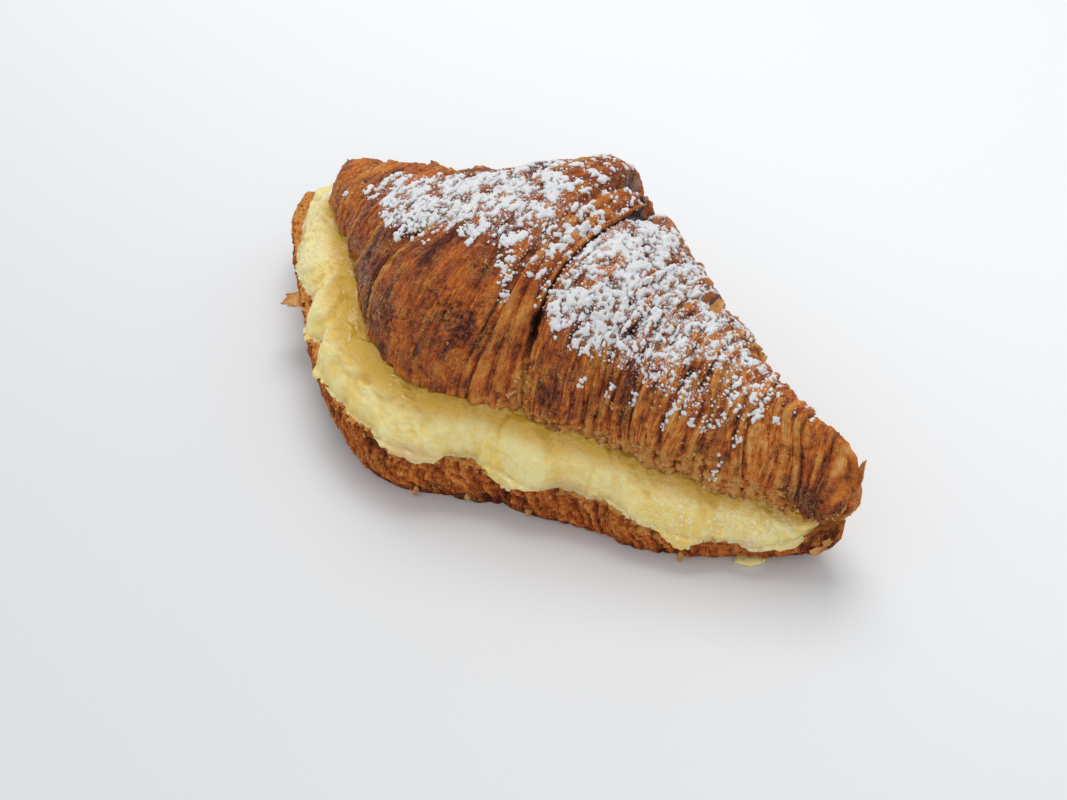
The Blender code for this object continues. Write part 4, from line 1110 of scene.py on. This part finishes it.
def grown(name, source, tree, sizes):   # a plain mesh of what the tree makes on a copy of the source
    carrier = linked(name, source.data.copy())
    modifier = carrier.modifiers.new("grow", "NODES")
    modifier.node_group = tree
    for item in tree.interface.items_tree:
        if item.item_type == "SOCKET" and item.in_out == "INPUT" and item.name in sizes:
            modifier[item.identifier] = sizes[item.name]
    graph = bpy.context.evaluated_depsgraph_get()
    mesh = bpy.data.meshes.new_from_object(carrier.evaluated_get(graph), depsgraph=graph)
    mesh.name = name
    carrier.modifiers.clear()
    carrier.data = mesh
    mesh.materials.clear()
    for material in [value for value in sizes.values() if isinstance(value, bpy.types.Material)]:
        mesh.materials.append(material)
    mesh.polygons.foreach_set("material_index", np.zeros(len(mesh.polygons), np.int32))
    return carrier


def randomValue(recipe, low, high, seed, kind="FLOAT"):
    output, lowest, highest = (0, 0, 1) if kind == "FLOAT_VECTOR" else (1, 2, 3)
    return recipe.node("FunctionNodeRandomValue", {"data_type": kind},
                       {lowest: low, highest: high, "Seed": seed}, output)


def named(recipe, label):
    return recipe.node("GeometryNodeInputNamedAttribute", {"data_type": "FLOAT"}, {"Name": label})


def sprinkled(recipe, inputs, density):   # random points on the surface, closer where the attribute is high
    return recipe.node("GeometryNodeDistributePointsOnFaces", {"distribute_method": "RANDOM"},
                       {"Mesh": inputs["Geometry"], "Density": named(recipe, density) * inputs["Density"],
                        "Seed": inputs["Seed"]})


def copied(recipe, points, shape, turn, size):
    return recipe.node("GeometryNodeInstanceOnPoints", {},
                       {"Points": points, "Instance": shape, "Rotation": turn, "Scale": size})


def merged(recipe, inputs, points, radius):   # one surface round all the points
    mode, size = {"resolution_mode": "VOXEL_SIZE"}, inputs["Voxel"]
    volume = recipe.node("GeometryNodePointsToVolume", mode,
                         {"Points": points, "Density": 1.0, "Voxel Size": size, "Radius": radius})
    return recipe.node("GeometryNodeVolumeToMesh", mode,
                       {"Volume": volume, "Voxel Size": size, "Threshold": 0.1, "Adaptivity": 0.0})


def moved(recipe, geometry, **values):
    return recipe.node("GeometryNodeSetPosition", {}, {"Geometry": geometry, **values})


def wobbled(recipe, surface, distance):   # moved in and out along its normals
    return moved(recipe, surface, Offset=scaled(recipe, recipe.node("GeometryNodeInputNormal"), distance))


# Icing sugar: soft clumps of merged blobs, and loose grains between them.
sugar = dict(clumpsPerSquareMillimetre=0.98, smallestSpread=0.05, largestSpread=1.05, blobRadius=0.41,
             voxel=0.30, grainsPerSquareMillimetre=2.8, grainRadius=0.15, seed=5)


def clumpTree():
    tree, recipe, inputs = newTree("sugar clumps", {
        "Density": 1.0, "Smallest Spread": 0.0001, "Largest Spread": 0.001,
        "Blob Radius": 0.0003, "Voxel": 0.0003, "Seed": 0, "Material": None})
    points = sprinkled(recipe, inputs, "sugar")
    share = randomValue(recipe, 0.0, 1.0, inputs["Seed"] + 1) ** 3.0
    spread = inputs["Smallest Spread"] + share * (inputs["Largest Spread"] - inputs["Smallest Spread"])
    spread = spread * named(recipe, "clumping")
    held = recipe.node("GeometryNodeStoreNamedAttribute", {"data_type": "FLOAT", "domain": "POINT"},
                       {"Geometry": points, "Name": "spread", "Value": spread})
    amount = named(recipe, "spread") / inputs["Largest Spread"] * 13.0 + 2.0
    many = recipe.node("GeometryNodeDuplicateElements", {"domain": "POINT"},
                       {"Geometry": held, "Amount": amount})
    farthest = (0.75, 1.15, 1.15)
    away = randomValue(recipe, [-value for value in farthest], farthest, inputs["Seed"] + 2, "FLOAT_VECTOR")
    apart = moved(recipe, many, Offset=scaled(recipe, away, named(recipe, "spread")))
    landed = recipe.node("GeometryNodeProximity", {"target_element": "FACES"}, {0: inputs["Geometry"]})
    radius = inputs["Blob Radius"] * randomValue(recipe, 0.85, 1.25, inputs["Seed"] + 3)
    radius = radius * (named(recipe, "clumping") * 0.4 + 0.6)
    lift = recipe.node("ShaderNodeCombineXYZ", {}, {"Z": inputs["Blob Radius"] * 0.25})
    settled = moved(recipe, apart, Position=landed, Offset=lift)
    place = recipe.node("GeometryNodeInputPosition")
    blurred = recipe.node("GeometryNodeBlurAttribute", {"data_type": "FLOAT_VECTOR"},
                          {"Value": place, "Iterations": 1})
    softer = moved(recipe, merged(recipe, inputs, settled, radius), Position=blurred)
    wobble = recipe.noise(place, 2600.0, 2.0, 0.6) - 0.5
    endTree(recipe, wobbled(recipe, softer, wobble * inputs["Blob Radius"] * 0.6), inputs["Material"])
    return tree


def grainTree():
    tree, recipe, inputs = newTree("sugar grains", {"Density": 1.0, "Radius": 0.0001, "Seed": 0,
                                                    "Material": None})
    points = sprinkled(recipe, inputs, "dust")
    grain = recipe.node("GeometryNodeMeshIcoSphere", {}, {"Radius": inputs["Radius"], "Subdivisions": 1})
    turn = randomValue(recipe, (0, 0, 0), (6.28, 6.28, 6.28), inputs["Seed"] + 1, "FLOAT_VECTOR")
    size = randomValue(recipe, 0.0, 1.0, inputs["Seed"] + 2) ** 3.0 * 1.9 + 0.7
    endTree(recipe, copied(recipe, points, grain, turn, size), inputs["Material"], False)
    return tree


def makeSugar(crust, material):
    perSquareMetre = 1 / mm ** 2
    clumps = grown("icing_sugar_clumps", crust, clumpTree(), {
        "Density": sugar["clumpsPerSquareMillimetre"] * perSquareMetre,
        "Smallest Spread": sugar["smallestSpread"] * mm, "Largest Spread": sugar["largestSpread"] * mm,
        "Blob Radius": sugar["blobRadius"] * mm, "Voxel": sugar["voxel"] * mm,
        "Seed": sugar["seed"], "Material": material})
    grains = grown("icing_sugar_grains", crust, grainTree(), {
        "Density": sugar["grainsPerSquareMillimetre"] * perSquareMetre, "Radius": sugar["grainRadius"] * mm,
        "Seed": sugar["seed"] + 20, "Material": material})
    return [clumps, grains]


# Cream that has run over the rim, and the larger lumps of sugar: blobs that merge where they touch.
blobs = {"cream_drips": {"Voxel": 0.0003, "Roughness": 0.0006, "Fineness": 500.0},
         "icing_sugar_lumps": {"Voxel": 0.00022, "Roughness": 0.0005, "Fineness": 2400.0}}   # in metres


def blobTree(name):
    tree, recipe, inputs = newTree(name, {"Voxel": 0.0003, "Roughness": 0.001, "Fineness": 700.0,
                                          "Material": None})
    radius = named(recipe, "radius")
    points = recipe.node("GeometryNodeMeshToPoints", {}, {"Mesh": inputs["Geometry"], "Radius": radius})
    surface = merged(recipe, inputs, points, radius)
    wobble = recipe.noise(recipe.node("GeometryNodeInputPosition"), inputs["Fineness"], 3.0, 0.6) - 0.5
    endTree(recipe, wobbled(recipe, surface, wobble * inputs["Roughness"]), inputs["Material"])
    return tree


def blobPiece(name, places, radii, material):
    mesh = bpy.data.meshes.new(name)
    mesh.from_pydata([tuple(place) for place in places], [], [])
    mesh.attributes.new("radius", "FLOAT", "POINT").data.foreach_set("value", radii)
    source = bpy.data.objects.new(name + " points", mesh)
    return grown(name, source, blobTree(name), {**blobs[name], "Material": material})


def makeDrips(wall, material):
    surface = BVHTree.FromObject(wall, bpy.context.evaluated_depsgraph_get())
    places, radii = [], []
    for startX, endX, length, radius in cream["drips"]:
        for share in np.linspace(0, 1, 14):
            x = startX + (endX - startX) * share + 0.2 * math.sin(4 * share + startX)
            rim, y = [float(through(lower[word], np.array([x]))[0]) for word in ("cut", "front")]
            aim = inFrame((x, y + 1.2 * (1 - share) ** 2, rim + 0.6 - (length + 0.6) * share))
            landed, facing = surface.find_nearest(aim)[:2]
            swell = radius * (0.85 + 0.3 * math.sin(2.8 * share + 0.4))
            places.append(landed * 0.5 + aim * 0.5 - facing * 0.25 * swell * mm)
            radii.append(swell * mm)
    edge = cream["puddle"]
    for back in np.arange(0, cream["puddleDepth"], 0.5):
        for share in np.linspace(0, len(edge) - 1, 19):
            x, y, radius = [float(np.interp(share, range(len(edge)), column)) for column in zip(*edge)]
            places.append(inFrame((x - 0.5 * back, y + back, 0.75 * radius + 0.3 + 0.12 * back)))
            radii.append(0.75 * radius * mm)
    return blobPiece("cream_drips", places, radii, material)


def makeLumps(crust, material):
    surface = BVHTree.FromObject(crust, bpy.context.evaluated_depsgraph_get())
    chance = np.random.default_rng(12)
    places, radii = [], []
    for x, y, heading, length, width in upper["sugarLumps"]:
        ahead, aside = math.cos(math.radians(heading)), math.sin(math.radians(heading))
        for _ in range(round(3 + 2.2 * length * width)):
            away, angle = math.sqrt(chance.random()), 2 * math.pi * chance.random()
            along, side = away * math.cos(angle) * length / 2, away * math.sin(angle) * width / 2
            above = inFrame((x + along * ahead - side * aside, y + along * aside + side * ahead, 90.0))
            landed, facing = surface.ray_cast(above, Vector((0, 0, -1)))[:2]
            if landed is None:      # past the front edge, so on the steep side near it
                landed, facing = surface.find_nearest(Vector((above.x, above.y, 22 * mm)))[:2]
            radius = 0.30 + 0.32 * chance.random() * (1.1 - away)
            places.append(landed + facing * 0.15 * radius * mm)
            radii.append(radius * mm)
    return blobPiece("icing_sugar_lumps", places, radii, material)


# Loose flakes of crust: thin bent leaves, a few listed one by one where they stand out most, and crumbs.
leaves = dict(thickness=0.22,
    # x, y, z of the foot, heading, lift and roll in degrees, length, width, curl
    byHand=[(42.6, 5.2, 43.6, 75, 62, 20, 5.4, 2.8, 40), (43.6, 3.6, 44.0, 20, 40, -30, 2.6, 2.2, 40),
            (52.4, 9.0, 34.6, 60, 40, 30, 3.6, 3.0, 60), (55.2, 2.0, 39.2, 40, 30, 0, 2.6, 2.0, 40),
            (84.0, 2.2, 22.5, 95, 82, -10, 7.6, 2.8, 18), (83.0, -1.5, 19.0, 80, 66, 20, 3.6, 2.4, 50),
            (79.6, -3.4, 4.4, 40, 30, 60, 4.4, 1.6, 60), (81.4, -1.8, 7.4, 60, 15, 50, 3.2, 1.5, 50),
            (49.0, -5.0, 36.2, 15, 20, 30, 5.0, 2.8, 60), (-52.5, -26.0, 15.0, 205, -2, 10, 7.5, 6.5, 22),
            (-55.5, -23.5, 13.5, 215, -12, -20, 6.0, 6.0, 30),
            (17.4, -28.8, 31.0, 250, 10, 40, 2.2, 2.2, 60),
            (1.4, -43.8, 2.2, 255, -40, 10, 2.4, 1.8, 50), (11.6, -37.6, 2.2, 245, -40, -20, 2.2, 1.6, 50),
            (24.6, -31.8, 2.0, 270, -35, 10, 2.0, 1.8, 50), (58.2, -19.8, 2.2, 250, -40, 0, 2.4, 1.6, 50)],
    # length, width and curl of the scattered ones, and the scales of these and of the crumbs
    small=(1.6, 1.1, 50), smallest=0.5, largest=1.6, perSquareMillimetre=0.035,
    crumbsPerSquareMillimetre=0.55, crumbRadius=0.30, lowerShare=0.4)


def quadsOf(index):   # the quads of a grid of numbered points
    return np.stack([index[:-1, :-1], index[1:, :-1], index[1:, 1:], index[:-1, 1:]], -1).reshape(-1, 4)


def leafShape(length, width, curl, seed):   # a thin closed leaf from the origin along +X, bending over
    columns, rows = 9, 6
    along = np.linspace(0, 1, columns)[:, None] + np.zeros((1, rows))
    across = np.linspace(-0.5, 0.5, rows)[None, :] + np.zeros((columns, 1))
    bend = math.radians(curl)
    reach = length * np.sin(bend * along) / bend
    height = length * (np.cos(bend * along) - 1) / bend
    taper = (1 - 0.55 * along ** 1.5) * (1 + 0.35 * noise(seed, 4 * along, 3 * across))
    tipRag = 1 + 0.25 * noise(seed + 1, 5 * across, 0 * across) * along
    side = across * width * taper
    cup = 0.35 * width * (2 * across) ** 2 * (0.4 + 0.6 * along)
    ripple = 0.12 * width * noise(seed + 2, 3 * along, 4 * across)
    top = np.stack([reach * tipRag, side, height + cup + ripple], -1)
    bottom = top - gridNormals(top) * leaves["thickness"] * np.sign(gridNormals(top)[..., 2:] + 1e-9)
    points = np.concatenate([top.reshape(-1, 3), bottom.reshape(-1, 3)])
    index = np.arange(columns * rows).reshape(columns, rows)
    under = index + columns * rows
    faces = quadsOf(index).tolist() + quadsOf(under)[:, [0, 3, 2, 1]].tolist()
    border = list(index[:, 0]) + list(index[-1, 1:]) + list(index[-2::-1, -1]) + list(index[0, -2:0:-1])
    for one, two in zip(border, border[1:] + border[:1]):
        faces.append((two, one, one + columns * rows, two + columns * rows))
    return points, faces


def makeLeaves(material):
    points, faces = [], []
    for number, (x, y, z, heading, lift, roll, length, width, curl) in enumerate(leaves["byHand"]):
        shape, sides = leafShape(length, width, curl, 200 + 5 * number)
        turn = Matrix.Identity(3)
        for angle, axis in ((heading, "Z"), (-lift, "Y"), (roll, "X")):
            turn = turn @ Matrix.Rotation(math.radians(angle), 3, axis)
        placed = shape @ np.array(turn).T + np.array([x, y, z]) + fromLoft
        base = sum(len(part) for part in points)
        points.append(placed * mm)
        faces += [tuple(int(corner) + base for corner in side) for side in sides]
    mesh = bpy.data.meshes.new("crust_leaves")
    mesh.from_pydata(np.concatenate(points).tolist(), [], faces)
    mesh.shade_smooth()
    mesh.materials.append(material)
    piece = linked("crust_leaves", mesh)
    smoother = piece.modifiers.new("smoother", "SUBSURF")
    smoother.levels = smoother.render_levels = 1
    return piece


def scatterTree(name, density):   # copies of a small shape, laid on the surface where the attribute is high
    tree, recipe, inputs = newTree(name, {"Density": 1.0, "Smallest": 0.5, "Largest": 1.5, "Seed": 0,
                                          "Shape": bpy.types.Object, "Material": None})
    points = sprinkled(recipe, inputs, density)
    turn = Wire(recipe, points.socket.node.outputs["Rotation"])
    spin = randomValue(recipe, (-0.5, -0.5, -3.14), (0.5, 0.5, 3.14), inputs["Seed"] + 1, "FLOAT_VECTOR")
    leaned = recipe.node("FunctionNodeRotateRotation", {"rotation_space": "LOCAL"},
                         {"Rotation": turn, "Rotate By": spin})
    share = randomValue(recipe, 0.0, 1.0, inputs["Seed"] + 2) ** 2.0
    size = inputs["Smallest"] + share * (inputs["Largest"] - inputs["Smallest"])
    shape = recipe.node("GeometryNodeObjectInfo", {"transform_space": "ORIGINAL"},
                        {"Object": inputs["Shape"]}, "Geometry")
    endTree(recipe, copied(recipe, points, shape, leaned, size), inputs["Material"])
    return tree


def makeScatter(name, crust, density, points, faces, perSquareMillimetre, seed, material):
    mesh = bpy.data.meshes.new(name + " shape")
    mesh.from_pydata((np.asarray(points) * mm).tolist(), [], [tuple(map(int, face)) for face in faces])
    shape = bpy.data.objects.new(name + " shape", mesh)
    piece = grown(name, crust, scatterTree(name + " scatter", density), {
        "Density": perSquareMillimetre / mm ** 2, "Smallest": leaves["smallest"],
        "Largest": leaves["largest"], "Seed": seed, "Shape": shape, "Material": material})
    bpy.data.objects.remove(shape)
    return piece


def crumbShape():   # a lumpy crumb of a few dozen faces
    ball = bmesh.new()
    bmesh.ops.create_icosphere(ball, subdivisions=2, radius=1.0)
    ball.verts.ensure_lookup_table()
    points = np.array([vertex.co[:] for vertex in ball.verts])
    faces = [tuple(vertex.index for vertex in face.verts) for face in ball.faces]
    ball.free()
    return points * (1 + 0.45 * noise(260, *(1.4 * points.T)))[:, None], faces


# The room: a pale floor, soft light from above, and the camera.
room = dict(floorSize=3.0, floorColour=(0.90, 0.91, 0.92), nearShadeShare=0.80, skyStrength=0.60,
            keyPlace=(-0.25, 0.30, 0.95), keySize=0.65, keyPower=5.15,
            fillPlace=(0.6, -0.7, 0.7), fillSize=0.8, fillPower=1.5)
camera = dict(place=(176.4, -201.7, 249.3), towards=(-0.484, 0.545, -0.6845), lens=50.78, sensor=36.0)


def aimed(place, towards):
    towards = Vector(towards).normalized()
    right = towards.cross(Vector((0, 0, 1))).normalized()
    matrix = Matrix((right, right.cross(towards), -towards)).transposed().to_4x4()
    matrix.translation = place
    return matrix


def makeRoom():
    half = room["floorSize"] / 2
    mesh = bpy.data.meshes.new("floor")
    corners = [(-half, -half, 0), (half, -half, 0), (half, half, 0), (-half, half, 0)]
    mesh.from_pydata(corners, [], [(0, 1, 2, 3)])
    floor = linked("floor", mesh)
    material, recipe, shader = newMaterial("pale floor", {"Roughness": 0.5, "Specular IOR Level": 0.3})
    place = recipe.place()
    soft = recipe.noise(place, 9.0, 2.0, 0.5)
    pale = room["floorColour"]
    # painted shade: the floor is darker towards the front
    darker = tuple(value * room["nearShadeShare"] for value in pale)
    near = 1.0 - recipe.node("ShaderNodeSeparateXYZ", {}, {0: place}, 1).ease(-0.16, 0.16)
    feed(recipe, shader, Base_Color=recipe.mix(near + soft * 0.05, pale, darker))
    mesh.materials.append(material)
    for name in ("key", "fill"):
        light = bpy.data.lights.new(name, "AREA")
        light.shape = "SQUARE"
        light.size = room[name + "Size"]
        light.energy = room[name + "Power"]
        lamp = bpy.data.objects.new(name, light)
        bpy.context.scene.collection.objects.link(lamp)
        place = Vector(room[name + "Place"])
        lamp.matrix_world = aimed(place, Vector((0, 0, 0.02)) - place)
    world = bpy.data.worlds.new("studio")
    bpy.context.scene.world = world
    world.use_nodes = True
    background = world.node_tree.nodes["Background"]
    background.inputs["Color"].default_value = (0.96, 0.98, 1.0, 1.0)
    background.inputs["Strength"].default_value = room["skyStrength"]
    lens = bpy.data.cameras.new("camera")
    lens.sensor_width = camera["sensor"]
    lens.lens = camera["lens"]
    lens.clip_start = 0.01
    eye = bpy.data.objects.new("camera", lens)
    bpy.context.scene.collection.objects.link(eye)
    eye.matrix_world = aimed(inFrame(camera["place"]), camera["towards"])
    bpy.context.scene.camera = eye
    bpy.context.scene.view_settings.view_transform = "Standard"


# Everything put together.

def finishPiece(piece, material=None, node=None):
    if material:
        piece.data.materials.clear()
        piece.data.materials.append(material)
    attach(piece, "root")
    if node:
        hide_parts(node)
    triangles = sum(len(polygon.vertices) - 2 for polygon in piece.data.polygons)
    print("made", piece.name, triangles, "triangles")


makeRoom()
topCrust = crustMaterial("top crust", 0.75)
baseCrust = crustMaterial("base crust", 0.1)
upperCrust = makeUpper()
finishPiece(upperCrust, topCrust, "upper_half")
lowerCrust, rimLine = makeLower()
finishPiece(lowerCrust, baseCrust, "lower_half")
pastryCream = makeCream(rimLine)
finishPiece(pastryCream, creamMaterial(), "custard")
finishPiece(makeDrips(lowerCrust, pastryCream.data.materials[0]))
powder = sugarMaterial()
for piece in makeSugar(upperCrust, powder) + [makeLumps(upperCrust, powder)]:
    finishPiece(piece)
flakes = flakeMaterial()
finishPiece(makeLeaves(flakes))
finishPiece(makeScatter("small_flakes", upperCrust, "flaky", *leafShape(*leaves["small"], 250),
                        leaves["perSquareMillimetre"], 31, flakes))
crumbPoints, crumbFaces = crumbShape()
for name, crust, share, seed in (("upper_crumbs", upperCrust, 1.0, 41),
                                 ("lower_crumbs", lowerCrust, leaves["lowerShare"], 51)):
    finishPiece(makeScatter(name, crust, "crumbs", crumbPoints * leaves["crumbRadius"], crumbFaces,
                            share * leaves["crumbsPerSquareMillimetre"], seed, flakes))
